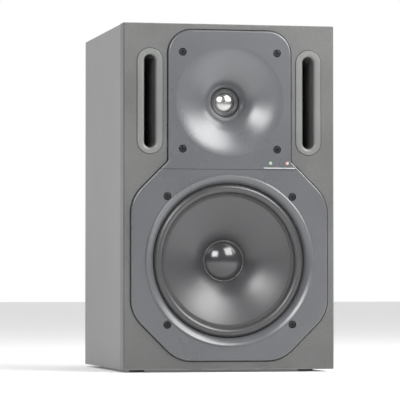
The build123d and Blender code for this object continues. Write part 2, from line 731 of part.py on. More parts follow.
def woofer_cone():
    front, back = cone_line(0), cone_line(CONE_THICKNESS)
    rim_face, rim_back = FLANGE_FACE, FLANGE_FACE + CONE_THICKNESS
    rim = Polyline(back @ 0, (CONE_RIM_RADIUS, rim_back), (CONE_RIM_RADIUS, rim_face), front @ 0)
    neck = Line(front @ 1, back @ 1)
    return turned(make_face(front + neck + back + rim), WOOFER_Z)


def dust_cap_seat():
    """Depth at which the dust cap's edge meets the cone."""
    reach = Line((DUST_CAP_RADIUS, FLANGE_FACE), (DUST_CAP_RADIUS, CONE_NECK_DEPTH + 1))
    return (cone_line(0) & reach).vertices()[0].Y


def cap_face(radius, rise, thickness, seat):
    """Thin domed cap as (radius, depth), with its edge at the seat depth."""
    ball = (radius**2 + rise**2) / (2 * rise)
    centre = seat - rise + ball
    inside = ball - thickness
    edge = (inside**2 - (centre - seat) ** 2) ** 0.5
    mid = radians(45) * radius / ball
    outer = ThreePointArc(
        (0, seat - rise), (ball * sin(mid), centre - ball * cos(mid)), (radius, seat)
    )
    inner = ThreePointArc(
        (edge, seat), (inside * sin(mid), centre - inside * cos(mid)), (0, centre - inside)
    )
    return make_face(
        outer + Line((radius, seat), (edge, seat)) + inner + Line((0, centre - inside), (0, seat - rise))
    )


def woofer_dust_cap():
    return turned(
        cap_face(DUST_CAP_RADIUS, DUST_CAP_RISE, DUST_CAP_THICKNESS, dust_cap_seat()), WOOFER_Z
    )


def woofer_coil_former():
    start = dust_cap_seat() + DUST_CAP_THICKNESS
    end = WOOFER_GAP_DEPTH + WOOFER_COIL_HEIGHT / 2 + 1
    return ring(WOOFER_Z, WOOFER_COIL_RADIUS - WOOFER_FORMER_WALL, WOOFER_COIL_RADIUS, start, end)


def woofer_voice_coil():
    start = WOOFER_GAP_DEPTH - WOOFER_COIL_HEIGHT / 2
    end = WOOFER_GAP_DEPTH + WOOFER_COIL_HEIGHT / 2
    return ring(WOOFER_Z, WOOFER_COIL_RADIUS, WOOFER_WINDING_RADIUS, start, end)


def woofer_spider():
    """Corrugated centring disc between the former and the basket's shelf."""
    inner = WOOFER_COIL_RADIUS + SPIDER_GLUE_GAP
    roll_start, roll_end = inner + SPIDER_NECK, SPIDER_RADIUS - SPIDER_LANDING
    steps = 2 * SPIDER_RIDGES
    pitch = (roll_end - roll_start) / steps
    crests = [
        (roll_start + (i + 0.5) * pitch, SPIDER_DEPTH + (-1) ** i * SPIDER_RIDGE)
        for i in range(steps)
    ]
    line = [(inner, SPIDER_DEPTH), (roll_start, SPIDER_DEPTH)] + crests
    line += [(roll_end, SPIDER_DEPTH), (SPIDER_RADIUS, SPIDER_DEPTH)]
    front = [(r, d - SPIDER_THICKNESS) for r, d in reversed(line)]
    return turned(outline(line + front), WOOFER_Z)


def woofer_frame():
    """Basket: mounting flange, open conical legs, spider shelf and motor seat."""
    shelf = SPIDER_DEPTH
    seat = BASKET_SEAT_RADIUS
    inner_seat = seat - BASKET_WALL
    bottom = BASKET_BACK - BASKET_WALL
    coil_hole = WOOFER_WINDING_RADIUS + BASKET_WALL
    basket = turned(
        outline(
            [
                (ROLL_OUTER_RADIUS, FLANGE_FACE),
                (FLANGE_RADIUS, FLANGE_FACE),
                (FLANGE_RADIUS, FLANGE_BACK),
                (BASKET_MOUTH_RADIUS, FLANGE_BACK),
                (seat, shelf),
                (seat, BASKET_BACK),
                (coil_hole, BASKET_BACK),
                (coil_hole, bottom),
                (inner_seat, bottom),
                (inner_seat, shelf + BASKET_WALL),
                (SPIDER_RADIUS - SPIDER_LANDING, shelf + BASKET_WALL),
                (SPIDER_RADIUS - SPIDER_LANDING, shelf),
                (inner_seat, shelf),
                (BASKET_MOUTH_RADIUS - BASKET_WALL, FLANGE_BACK),
                (ROLL_OUTER_RADIUS, FLANGE_BACK),
            ]
        ),
        WOOFER_Z,
    )
    for x, z in driver_screw_places()[:4]:
        basket -= rod(x, z, SCREW_SHANK_RADIUS, FLANGE_FACE, FLANGE_BACK)
    return basket - basket_windows()


def basket_windows():
    """Wedges that open the basket's wall between its legs."""
    near = FLANGE_BACK + 2 * BASKET_WALL
    far = SPIDER_DEPTH - BASKET_WALL
    face = outline(
        [(SPIDER_RADIUS, near), (FLANGE_RADIUS, near), (FLANGE_RADIUS, far), (SPIDER_RADIUS, far)]
    )
    wedge = revolve(face, Axis.Y, BASKET_WINDOW_ANGLE)
    step = 360 / BASKET_WINDOWS
    centre = Pos(0, y_at(0), WOOFER_Z)
    return [centre * Rot(0, i * step, 0) * wedge for i in range(BASKET_WINDOWS)]


def woofer_top_plate():
    bore = WOOFER_WINDING_RADIUS + WOOFER_GAP_CLEARANCE
    return ring(WOOFER_Z, bore, WOOFER_TOP_PLATE_RADIUS, BASKET_BACK, WOOFER_MAGNET_FACE)


def woofer_magnet():
    return ring(
        WOOFER_Z, WOOFER_MAGNET_BORE, WOOFER_MAGNET_RADIUS, WOOFER_MAGNET_FACE, WOOFER_YOKE_FACE
    )


def woofer_yoke():
    """Back plate and pole in one piece, vented through the middle."""
    back = WOOFER_YOKE_FACE + WOOFER_YOKE_THICKNESS
    return ring(
        WOOFER_Z, WOOFER_VENT_RADIUS, WOOFER_TOP_PLATE_RADIUS, WOOFER_YOKE_FACE, back
    ) + ring(WOOFER_Z, WOOFER_VENT_RADIUS, WOOFER_POLE_RADIUS, BASKET_BACK, WOOFER_YOKE_FACE)


# ---------------------------------------------------------------- tweeter
def dome_rim_face():
    """Depth of the flat rim of the dome, which is glued on the surround."""
    return TWEETER_LANDING_FACE - 2 * TWEETER_ROLL_THICKNESS - DOME_THICKNESS


def tweeter_dome():
    rim = dome_rim_face()
    cap = turned(cap_face(DOME_RADIUS, DOME_RISE, DOME_THICKNESS, rim + DOME_THICKNESS), TWEETER_Z)
    flat = ring(
        TWEETER_Z, DOME_RADIUS - DOME_RIM, DOME_RADIUS + DOME_RIM, rim, rim + DOME_THICKNESS
    )
    return cap + flat


def tweeter_surround():
    """Half-roll from the dome's rim to the landing behind the throat."""
    t = TWEETER_ROLL_THICKNESS
    inner_face = dome_rim_face() + DOME_THICKNESS
    inner, roll_start = DOME_RADIUS - DOME_RIM / 2, DOME_RADIUS + DOME_RIM
    outer = THROAT_RADIUS + TWEETER_ROLL_LANDING
    landing = TWEETER_LANDING_FACE
    middle = ((roll_start + THROAT_RADIUS) / 2, inner_face - (THROAT_RADIUS - roll_start) / 2)
    crest = ThreePointArc((roll_start, inner_face), middle, (THROAT_RADIUS, landing))
    hollow = ThreePointArc(
        (THROAT_RADIUS, landing + t), (middle[0], middle[1] + t), (roll_start, inner_face + t)
    )
    outside = Polyline(
        (THROAT_RADIUS, landing), (outer, landing), (outer, landing + t), (THROAT_RADIUS, landing + t)
    )
    inside = Polyline(
        (roll_start, inner_face + t), (inner, inner_face + t), (inner, inner_face),
        (roll_start, inner_face),
    )
    return turned(make_face(crest + outside + hollow + inside), TWEETER_Z)


def tweeter_voice_coil():
    """Former with its winding, centred on the gap."""
    start = dome_rim_face() + DOME_THICKNESS + TWEETER_ROLL_THICKNESS
    middle = HORN_SEAT_DEPTH + TWEETER_TOP_PLATE_THICKNESS / 2
    wound = TWEETER_COIL_HEIGHT / 2
    wall = DOME_RADIUS + TWEETER_COIL_WALL
    former = ring(TWEETER_Z, DOME_RADIUS, wall, start, middle + wound + TWEETER_COIL_WALL)
    return former + ring(TWEETER_Z, wall, TWEETER_COIL_OUTER, middle - wound, middle + wound)


def tweeter_top_plate():
    bore = TWEETER_COIL_OUTER + TWEETER_GAP_CLEARANCE
    return ring(TWEETER_Z, bore, TWEETER_TOP_PLATE_RADIUS, HORN_SEAT_DEPTH, TWEETER_MAGNET_FACE)


def tweeter_magnet():
    return ring(
        TWEETER_Z, TWEETER_MAGNET_BORE, TWEETER_MAGNET_RADIUS, TWEETER_MAGNET_FACE, TWEETER_YOKE_FACE
    )


def tweeter_yoke():
    back = TWEETER_YOKE_FACE + TWEETER_YOKE_THICKNESS
    pole = DOME_RADIUS - TWEETER_GAP_CLEARANCE
    return rod(0, TWEETER_Z, TWEETER_TOP_PLATE_RADIUS, TWEETER_YOKE_FACE, back) + rod(
        0, TWEETER_Z, pole, HORN_SEAT_DEPTH, TWEETER_YOKE_FACE
    )


# -------------------------------------------------- terminals and leads
def terminal(x, z, near):
    """Insulating block with two flat blades that face the back."""
    width, height, depth = TERMINAL_BLOCK
    blades = [
        block(x + side * width / 4, z, TERMINAL_BLADE, near + depth) for side in (-1, 1)
    ]
    return block(x, z, TERMINAL_BLOCK, near) + blades


def woofer_terminal_z():
    """Height of the woofer's terminal, fixed on the edge of its back plate."""
    return WOOFER_Z + WOOFER_TOP_PLATE_RADIUS - TERMINAL_BLOCK[1] / 2


def tweeter_terminal_z():
    return TWEETER_Z - TWEETER_TOP_PLATE_RADIUS + TERMINAL_BLOCK[1] / 2


def woofer_back():
    return WOOFER_YOKE_FACE + WOOFER_YOKE_THICKNESS


def tweeter_back():
    return TWEETER_YOKE_FACE + TWEETER_YOKE_THICKNESS


def driver_terminals():
    return group(
        [
            terminal(0, woofer_terminal_z(), woofer_back()),
            terminal(0, tweeter_terminal_z(), tweeter_back()),
        ]
    )


def lead(x, z, start, end_z):
    """Sheathed pair from a driver's terminal to the front of the amplifier board."""
    half_way = (start + BOARD_DEPTH) / 2
    points = [(start, z), (half_way, z), (half_way, end_z), (BOARD_DEPTH, end_z)]
    path = FilletPolyline(*[(x, y_at(d), h) for d, h in points], radius=LEAD_BEND)
    section = Plane(origin=path @ 0, z_dir=path % 0) * Circle(LEAD_RADIUS)
    return sweep(section, path=path)


def driver_leads():
    """Leads start where the blades end, and stop at the amplifier board."""
    reach = TERMINAL_BLOCK[2] + TERMINAL_BLADE[2]
    return group(
        [
            lead(0, woofer_terminal_z(), woofer_back() + reach, BOARD_Z - BOARD_HEIGHT / 8),
            lead(0, tweeter_terminal_z(), tweeter_back() + reach, BOARD_Z + BOARD_HEIGHT / 3),
        ]
    )


# -------------------------------------------------------------- amplifier
def plate_screw_places():
    x = PLATE_WIDTH / 2 - PLATE_SCREW_INSET
    z = PLATE_HEIGHT / 2 - PLATE_SCREW_INSET
    places = [(sx * x, PLATE_Z + sz * z) for sx in (-1, 0, 1) for sz in (-1, 1)]
    return places + [(sx * x, PLATE_Z + sz * z / 3) for sx in (-1, 1) for sz in (-1, 1)]


def plate_screw_shanks():
    near = PLATE_FACE - PLATE_SCREW_LENGTH
    return [rod(x, z, PLATE_SCREW_SHANK, near, PLATE_FACE) for x, z in plate_screw_places()]


def amplifier_plate():
    sheet = slab(
        Pos(0, PLATE_Z) * RectangleRounded(PLATE_WIDTH, PLATE_HEIGHT, PLATE_CORNER),
        CABINET_DEPTH,
        PLATE_FACE,
    )
    sheet -= plate_screw_shanks()
    sheet -= through_plate(INLET_X, LOWER_ROW_Z, Rectangle(*INLET_BODY[:2]))
    sheet -= through_plate(ROCKER_X, LOWER_ROW_Z, Rectangle(*ROCKER_BODY[:2]))
    sheet -= through_plate(TRANSFORMER_X, TRANSFORMER_Z, Circle(BOLT_RADIUS))
    sheet -= through_plate(XLR_X, SOCKET_ROW_Z, xlr_hole())
    sheet -= through_plate(JACK_X, SOCKET_ROW_Z, Circle(JACK_SLEEVE_RADIUS))
    sheet -= through_plate(TRIM_X, SOCKET_ROW_Z, Circle(TRIM_BUSH_RADIUS))
    for x in SLIDE_SWITCHES.values():
        sheet -= through_plate(x, SWITCH_ROW_Z, Rectangle(*SLIDE_BODY[:2]))
    return sheet


def through_plate(x, z, shape):
    return slab(Pos(x, z) * shape, CABINET_DEPTH, PLATE_FACE)


def amplifier_plate_screws():
    screws = []
    for (x, z), shank in zip(plate_screw_places(), plate_screw_shanks()):
        head = rod(x, z, PLATE_SCREW_HEAD, PLATE_FACE, PLATE_FACE + PLATE_SCREW_HEAD_HEIGHT)
        top = head.faces().sort_by(Axis.Y)[-1].edges()
        screws.append(shank + fillet(top, PLATE_SCREW_HEAD_HEIGHT / 2))
    return group(screws)


def heat_sink():
    base = slab(
        Pos(0, HEAT_SINK_Z) * Rectangle(HEAT_SINK_WIDTH, HEAT_SINK_HEIGHT),
        PLATE_FACE,
        PLATE_FACE + HEAT_SINK_BASE,
    )
    pitch = (HEAT_SINK_WIDTH - HEAT_SINK_FIN) / (HEAT_SINK_FINS - 1)
    first = (HEAT_SINK_FIN - HEAT_SINK_WIDTH) / 2
    size = (HEAT_SINK_FIN, HEAT_SINK_HEIGHT, HEAT_SINK_PROUD - HEAT_SINK_BASE)
    near = PLATE_FACE + HEAT_SINK_BASE
    return base + [
        block(first + i * pitch, HEAT_SINK_Z, size, near) for i in range(HEAT_SINK_FINS)
    ]


def amplifier_board():
    return block(0, BOARD_Z, (BOARD_WIDTH, BOARD_HEIGHT, BOARD_THICKNESS), BOARD_DEPTH)


def board_spacers():
    x, z = BOARD_WIDTH / 2 - SPACER_INSET, BOARD_HEIGHT / 2 - SPACER_INSET
    near = BOARD_DEPTH + BOARD_THICKNESS
    return group(
        [rod(sx * x, BOARD_Z + sz * z, SPACER_RADIUS, near, CABINET_DEPTH) for sx, sz in CORNERS]
    )


def power_transistors():
    """Output transistors, clamped flat against the inside of the plate."""
    width, thickness, height = TRANSISTOR_SIZE
    near = CABINET_DEPTH - thickness
    start = -(TRANSISTOR_COUNT - 1) / 2 * TRANSISTOR_PITCH
    places = [start + i * TRANSISTOR_PITCH for i in range(TRANSISTOR_COUNT)]
    return group([block(x, TRANSISTOR_Z, (width, height, thickness), near) for x in places])


def filter_capacitors():
    near = BOARD_DEPTH - CAPACITOR_LENGTH
    cans = []
    for side in (-1, 1):
        can = rod(side * CAPACITOR_PITCH / 2, CAPACITOR_Z, CAPACITOR_RADIUS, near, BOARD_DEPTH)
        cans.append(fillet(front_edges(can), CAPACITOR_EDGE_ROUND))
    return group(cans)


def transformer():
    """Toroidal mains transformer with its clamping disc."""
    near = CABINET_DEPTH - TRANSFORMER_THICKNESS
    face = Pos(TRANSFORMER_X, TRANSFORMER_Z) * (
        Circle(TRANSFORMER_RADIUS) - Circle(TRANSFORMER_HOLE)
    )
    winding = slab(face, near, CABINET_DEPTH)
    winding = fillet(winding.edges().filter_by(GeomType.CIRCLE), TRANSFORMER_THICKNESS / 5)
    disc = rod(
        TRANSFORMER_X, TRANSFORMER_Z, TRANSFORMER_RADIUS - TRANSFORMER_HOLE,
        near - TRANSFORMER_DISC, near,
    )
    return winding + disc - rod(
        TRANSFORMER_X, TRANSFORMER_Z, BOLT_RADIUS, near - TRANSFORMER_DISC, near
    )


def transformer_bolt():
    """Hexagon bolt through the plate and the transformer, with its nut inside."""
    near = CABINET_DEPTH - TRANSFORMER_THICKNESS - TRANSFORMER_DISC
    hexagon = Pos(TRANSFORMER_X, TRANSFORMER_Z) * RegularPolygon(
        BOLT_HEAD_ACROSS / 2, 6, major_radius=False
    )
    shank = rod(TRANSFORMER_X, TRANSFORMER_Z, BOLT_RADIUS, near - BOLT_HEAD_HEIGHT, PLATE_FACE)
    head = slab(hexagon, PLATE_FACE, PLATE_FACE + BOLT_HEAD_HEIGHT)
    nut = slab(hexagon, near - BOLT_HEAD_HEIGHT, near)
    return shank + head + nut


# ------------------------------------------------ mains inlet and its fuse
def inlet_cavity():
    """Socket recess with two cut corners."""
    width, height, _ = INLET_CAVITY
    shape = Rectangle(width, height)
    lower = shape.vertices().group_by(Axis.Y)[0]
    return Pos(INLET_X, LOWER_ROW_Z + INLET_CAVITY_UP) * chamfer(lower, INLET_CAVITY_CHAMFER)


def fuse_slot_z():
    return LOWER_ROW_Z - FUSE_SLOT_DOWN


def inlet_face():
    return PLATE_FACE + INLET_FLANGE[2]


def power_inlet():
    body_depth = INLET_BODY[2]
    part = block(INLET_X, LOWER_ROW_Z, INLET_BODY, PLATE_FACE - body_depth)
    flange = block(INLET_X, LOWER_ROW_Z, INLET_FLANGE, PLATE_FACE)
    flange = fillet(flange.edges().filter_by(Axis.Y), 2)
    part += flange
    part -= slab(inlet_cavity(), inlet_face() - INLET_CAVITY[2], inlet_face())
    slot = (FUSE_SLOT[0], FUSE_SLOT[1], FUSE_SLOT[2] + FUSE_CLEARANCE)
    return part - block(INLET_X, fuse_slot_z(), slot, inlet_face() - slot[2])


def inlet_pins():
    near = inlet_face() - INLET_CAVITY[2]
    low = LOWER_ROW_Z + INLET_CAVITY_UP - INLET_EARTH_UP / 2
    places = [(-INLET_PIN_SPREAD, 0), (0, INLET_EARTH_UP), (INLET_PIN_SPREAD, 0)]
    return group([block(INLET_X + x, low + z, INLET_PIN, near) for x, z in places])


def fuse_drawer():
    """Drawer with a face plate and an open tray for the fuse."""
    width = FUSE_SLOT[0] - 2 * FUSE_CLEARANCE
    height = FUSE_SLOT[1] - 2 * FUSE_CLEARANCE
    depth = FUSE_SLOT[2]
    near = inlet_face() - depth
    part = block(INLET_X, fuse_slot_z(), (width, height, depth), near)
    face = block(INLET_X, fuse_slot_z(), FUSE_FACE, inlet_face())
    part += fillet(face.edges().filter_by(Axis.Y), 1)
    tray_z = fuse_slot_z() + height / 2
    tray = (FUSE_TRAY_WIDTH, height + FUSE_RADIUS, FUSE_LENGTH)
    return part - block(INLET_X, tray_z, tray, fuse_start())


def fuse_start():
    return inlet_face() - FUSE_SLOT[2] + (FUSE_SLOT[2] - FUSE_LENGTH) / 2


def fuse():
    """Glass tube with a metal cap on each end, lying in the drawer's tray."""
    height = FUSE_SLOT[1] - 2 * FUSE_CLEARANCE
    floor = fuse_slot_z() + height / 2 - (height + FUSE_RADIUS) / 2
    return rod(INLET_X, floor + FUSE_RADIUS, FUSE_RADIUS, fuse_start(), fuse_start() + FUSE_LENGTH)


# ------------------------------------------------------------ power switch
def rocker_axis():
    """Depth of the rocker's pin."""
    return PLATE_FACE - 1


def pin_bar(radius, length):
    """Pin along X through the rocker's axis."""
    bar = Rot(0, 90, 0) * Cylinder(radius, length)
    return Pos(ROCKER_X, y_at(rocker_axis()), LOWER_ROW_Z) * bar


def power_switch_frame():
    depth = ROCKER_BODY[2]
    part = block(ROCKER_X, LOWER_ROW_Z, ROCKER_BODY, PLATE_FACE - depth)
    flange = block(ROCKER_X, LOWER_ROW_Z, ROCKER_FRAME, PLATE_FACE)
    part += fillet(flange.edges().filter_by(Axis.Y), 1)
    face = PLATE_FACE + ROCKER_FRAME[2]
    opening = (ROCKER_OPENING[0], ROCKER_OPENING[1], ROCKER_OPENING[2] + ROCKER_FRAME[2])
    part -= block(ROCKER_X, LOWER_ROW_Z, opening, face - opening[2])
    return part - pin_bar(ROCKER_PIN_RADIUS + ROCKER_PIN_CLEARANCE, ROCKER_WIDTH + 2 * ROCKER_PIN_SEAT)


def power_switch_rocker():
    """Two-lobed paddle on a pin, with its lower half pressed in."""
    half = ROCKER_HALF_HEIGHT
    profile = [
        (half, ROCKER_LOBE), (0, ROCKER_WAIST), (-half, ROCKER_LOBE),
        (-half, 0), (-half / 2, -ROCKER_BACK), (half / 2, -ROCKER_BACK), (half, 0),
    ]
    side_view = Plane(origin=(0, 0, 0), x_dir=(0, 0, 1), z_dir=(1, 0, 0))
    face = side_view * outline([(z, -y) for z, y in profile])
    paddle = extrude(face, amount=ROCKER_WIDTH / 2, both=True)
    paddle = Pos(ROCKER_X, y_at(rocker_axis()), LOWER_ROW_Z) * Rot(-ROCKER_TILT, 0, 0) * paddle
    return paddle + pin_bar(ROCKER_PIN_RADIUS, ROCKER_WIDTH + 2 * ROCKER_PIN_PROUD)


# ----------------------------------------------------------- signal inputs
def xlr_hole():
    return Circle(XLR_BARREL_RADIUS) + Pos(0, XLR_LATCH_UP) * Rectangle(
        XLR_LATCH[0] + 2 * XLR_LATCH_WALL, XLR_LATCH[1] + 2 * XLR_LATCH_WALL
    )


def xlr_face():
    return PLATE_FACE + XLR_FLANGE[2]


def xlr_socket():
    """Three-contact balanced input: flange, barrel, shell groove and latch pocket."""
    x, z = XLR_X, SOCKET_ROW_Z
    width, height, _ = XLR_FLANGE
    part = slab(
        Pos(x, z) * RectangleRounded(width, height, XLR_FLANGE_CORNER), PLATE_FACE, xlr_face()
    )
    part += slab(Pos(x, z) * xlr_hole(), PLATE_FACE - XLR_BARREL_DEPTH, PLATE_FACE)
    groove = Circle(XLR_GROOVE_OUTER) - Circle(XLR_GROOVE_INNER)
    part -= slab(Pos(x, z) * groove, xlr_face() - XLR_GROOVE_DEPTH, xlr_face())
    for i in range(3):
        angle = radians(90 + 120 * i)
        part -= rod(
            x + XLR_CONTACT_CIRCLE * cos(angle), z + XLR_CONTACT_CIRCLE * sin(angle),
            XLR_CONTACT_RADIUS, xlr_face() - XLR_CONTACT_DEPTH, xlr_face(),
        )
    pocket = (
        XLR_LATCH[0] + 2 * XLR_LATCH_CLEARANCE,
        XLR_LATCH[1] + 2 * XLR_LATCH_CLEARANCE,
        XLR_LATCH[2] - XLR_LATCH_PROUD + XLR_LATCH_TRAVEL + XLR_LATCH_CLEARANCE,
    )
    return part - block(x, z + XLR_LATCH_UP, pocket, xlr_face() - pocket[2])


def xlr_latch():
    """Sprung press tab over the socket."""
    near = xlr_face() + XLR_LATCH_PROUD - XLR_LATCH[2]
    tab = block(XLR_X, SOCKET_ROW_Z + XLR_LATCH_UP, XLR_LATCH, near)
    return fillet(tab.faces().sort_by(Axis.Y)[-1].edges(), XLR_LATCH_ROUND)


def jack_socket():
    """Quarter-inch jack with a threaded sleeve."""
    x, z = JACK_X, SOCKET_ROW_Z
    part = block(x, z, JACK_BODY, CABINET_DEPTH - JACK_BODY[2])
    face = PLATE_FACE + JACK_SLEEVE_PROUD
    part += rod(x, z, JACK_SLEEVE_RADIUS, CABINET_DEPTH, face)
    return part - rod(x, z, JACK_BORE_RADIUS, CABINET_DEPTH - JACK_BODY[2] + 2, face)


def jack_nut():
    hexagon = Pos(JACK_X, SOCKET_ROW_Z) * (
        RegularPolygon(JACK_NUT_ACROSS / 2, 6, major_radius=False) - Circle(JACK_SLEEVE_RADIUS)
    )
    return slab(hexagon, PLATE_FACE, PLATE_FACE + JACK_NUT_THICKNESS)


# -------------------------------------------------------------- trim and tone
def trim_potentiometer():
    x, z = TRIM_X, SOCKET_ROW_Z
    near = CABINET_DEPTH - TRIM_BODY_DEPTH
    part = rod(x, z, TRIM_BODY_RADIUS, near, CABINET_DEPTH)
    part += rod(x, z, TRIM_BUSH_RADIUS, CABINET_DEPTH, PLATE_FACE + TRIM_BUSH_PROUD)
    bore = TRIM_SHAFT_RADIUS + TRIM_SHAFT_CLEARANCE
    return part - rod(x, z, bore, near + 1, PLATE_FACE + TRIM_BUSH_PROUD)


def trim_knob():
    """Knob on its shaft, hollow behind to clear the bush, with a pointer groove."""
    x, z = TRIM_X, SOCKET_ROW_Z
    base = PLATE_FACE + TRIM_KNOB_GAP
    top = base + TRIM_KNOB_HEIGHT
    knob = rod(x, z, TRIM_KNOB_RADIUS, base, top)
    knob = fillet(knob.faces().sort_by(Axis.Y)[-1].edges(), TRIM_KNOB_ROUND)
    knob -= rod(x, z, TRIM_KNOB_HOLLOW, base, base + TRIM_KNOB_HOLLOW_DEPTH)
    groove = Pos(x, z + TRIM_KNOB_RADIUS / 2) * Rectangle(TRIM_GROOVE_WIDTH, TRIM_KNOB_RADIUS)
    knob -= slab(groove, top - TRIM_GROOVE_DEPTH, top)
    near = CABINET_DEPTH - TRIM_BODY_DEPTH + TRIM_SHAFT_START
    return knob + rod(x, z, TRIM_SHAFT_RADIUS, near, base + TRIM_KNOB_HOLLOW_DEPTH)


def slide_switch_frames():
    frames = []
    for x in SLIDE_SWITCHES.values():
        body = block(x, SWITCH_ROW_Z, SLIDE_BODY, PLATE_FACE - SLIDE_BODY[2])
        body += block(x, SWITCH_ROW_Z, SLIDE_FRAME, PLATE_FACE)
        face = PLATE_FACE + SLIDE_FRAME[2]
        frames.append(body - block(x, SWITCH_ROW_Z, SLIDE_SLOT, face - SLIDE_SLOT[2]))
    return group(frames)


def slider(x):
    near = PLATE_FACE + SLIDE_FRAME[2] + SLIDER_PROUD - SLIDER[2]
    tab = block(x, SWITCH_ROW_Z, SLIDER, near)
    return fillet(tab.faces().sort_by(Axis.Y)[-1].edges(), 0.5)


PARTS = {
    "left_side_panel": side_panel(-1),
    "right_side_panel": side_panel(1),
    "top_panel": end_panel(CABINET_TOP, CABINET_TOP - PANEL_THICKNESS),
    "bottom_panel": end_panel(CABINET_BOTTOM, CABINET_BOTTOM + PANEL_THICKNESS),
    "rear_panel": rear_panel(),
    "front_baffle": front_baffle(),
    "rubber_feet": rubber_feet(),
    "damping_foam": damping_foam(),
    "left_port_duct": port_duct(-1),
    "right_port_duct": port_duct(1),
    "tweeter_waveguide": tweeter_waveguide(),
    "tweeter_screws": group([front_screw(x, z) for x, z in driver_screw_places()[4:]]),
    "woofer_bezel": woofer_bezel(),
    "woofer_screws": group([front_screw(x, z) for x, z in driver_screw_places()[:4]]),
    "power_lamp": lamp(POWER_LAMP_X),
    "limit_lamp": lamp(LIMIT_LAMP_X),
    "woofer_gasket": woofer_gasket(),
    "woofer_frame": woofer_frame(),
    "woofer_surround": woofer_surround(),
    "woofer_cone": woofer_cone(),
    "woofer_dust_cap": woofer_dust_cap(),
    "woofer_coil_former": woofer_coil_former(),
    "woofer_voice_coil": woofer_voice_coil(),
    "woofer_spider": woofer_spider(),
    "woofer_top_plate": woofer_top_plate(),
    "woofer_magnet": woofer_magnet(),
    "woofer_yoke": woofer_yoke(),
    "tweeter_dome": tweeter_dome(),
    "tweeter_surround": tweeter_surround(),
    "tweeter_voice_coil": tweeter_voice_coil(),
    "tweeter_top_plate": tweeter_top_plate(),
    "tweeter_magnet": tweeter_magnet(),
    "tweeter_yoke": tweeter_yoke(),
    "driver_terminals": driver_terminals(),
    "driver_leads": driver_leads(),
    "amplifier_plate": amplifier_plate(),
    "amplifier_plate_screws": amplifier_plate_screws(),
    "heat_sink": heat_sink(),
    "amplifier_board": amplifier_board(),
    "board_spacers": board_spacers(),
    "power_transistors": power_transistors(),
    "filter_capacitors": filter_capacitors(),
    "transformer": transformer(),
    "transformer_bolt": transformer_bolt(),
    "power_inlet": power_inlet(),
    "inlet_pins": inlet_pins(),
    "fuse_drawer": fuse_drawer(),
    "fuse": fuse(),
    "power_switch_frame": power_switch_frame(),
    "power_switch_rocker": power_switch_rocker(),
    "xlr_socket": xlr_socket(),
    "xlr_latch": xlr_latch(),
    "jack_socket": jack_socket(),
    "jack_nut": jack_nut(),
    "trim_potentiometer": trim_potentiometer(),
    "trim_knob": trim_knob(),
    "slide_switch_frames": slide_switch_frames(),
}
PARTS.update({name: slider(x) for name, x in SLIDE_SWITCHES.items()})

for name, shape in PARTS.items():
    export_step(shape, f"parts/{name}.step")
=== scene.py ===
import json
import math

import bmesh
import bpy
from mathutils import Matrix, Vector

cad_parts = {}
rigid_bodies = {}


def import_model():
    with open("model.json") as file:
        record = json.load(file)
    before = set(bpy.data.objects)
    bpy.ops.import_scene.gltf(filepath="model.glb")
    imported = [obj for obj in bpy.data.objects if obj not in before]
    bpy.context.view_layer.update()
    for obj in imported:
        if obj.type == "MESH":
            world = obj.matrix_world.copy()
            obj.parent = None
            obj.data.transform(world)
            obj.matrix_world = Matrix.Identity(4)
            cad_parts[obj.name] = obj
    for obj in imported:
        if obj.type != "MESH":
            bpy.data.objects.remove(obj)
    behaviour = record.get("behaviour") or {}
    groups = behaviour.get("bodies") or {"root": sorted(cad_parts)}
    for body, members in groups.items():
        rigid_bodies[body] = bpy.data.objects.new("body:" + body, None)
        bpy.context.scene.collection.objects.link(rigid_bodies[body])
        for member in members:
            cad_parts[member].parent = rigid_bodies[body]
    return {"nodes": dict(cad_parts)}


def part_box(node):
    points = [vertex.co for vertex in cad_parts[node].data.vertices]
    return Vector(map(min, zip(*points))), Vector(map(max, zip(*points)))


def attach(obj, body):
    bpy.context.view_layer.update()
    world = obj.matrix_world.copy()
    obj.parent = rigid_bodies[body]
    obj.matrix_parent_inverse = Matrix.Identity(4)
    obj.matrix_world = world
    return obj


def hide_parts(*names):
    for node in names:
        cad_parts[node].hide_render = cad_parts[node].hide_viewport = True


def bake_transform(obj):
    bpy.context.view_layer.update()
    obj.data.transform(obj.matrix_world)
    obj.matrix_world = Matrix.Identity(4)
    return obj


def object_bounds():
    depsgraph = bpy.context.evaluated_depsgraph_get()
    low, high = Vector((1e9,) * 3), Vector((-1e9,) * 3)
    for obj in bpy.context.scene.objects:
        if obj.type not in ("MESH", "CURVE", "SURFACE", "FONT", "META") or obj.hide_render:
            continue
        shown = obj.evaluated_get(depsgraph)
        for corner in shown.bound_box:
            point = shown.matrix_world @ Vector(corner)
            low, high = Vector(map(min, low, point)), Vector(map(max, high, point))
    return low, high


for leftover in list(bpy.data.objects):
    bpy.data.objects.remove(leftover)
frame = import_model()
cad_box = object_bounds()

# ------------------------------------------------------------------ camera
# A long lens a few paces away, a little left of the baffle's axis and a
# little under the middle of the cabinet, so its left side shows as a strip.
VIEW_AZIMUTH = math.radians(-12.7)
VIEW_ELEVATION = math.radians(-1.9)
VIEW_DISTANCE = 3.14
LENS = 244.0
AIM_OFFSET = Vector((-0.005, 0, 0.002))

baffle_low, baffle_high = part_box("front_baffle")
baffle_middle = Vector((0, baffle_low.y, (baffle_low.z + baffle_high.z) / 2))


def away_from_baffle(azimuth, elevation):
    """Direction from the baffle's middle, by angle from straight ahead."""
    flat = math.cos(elevation)
    return Vector((math.sin(azimuth) * flat, -math.cos(azimuth) * flat, math.sin(elevation)))


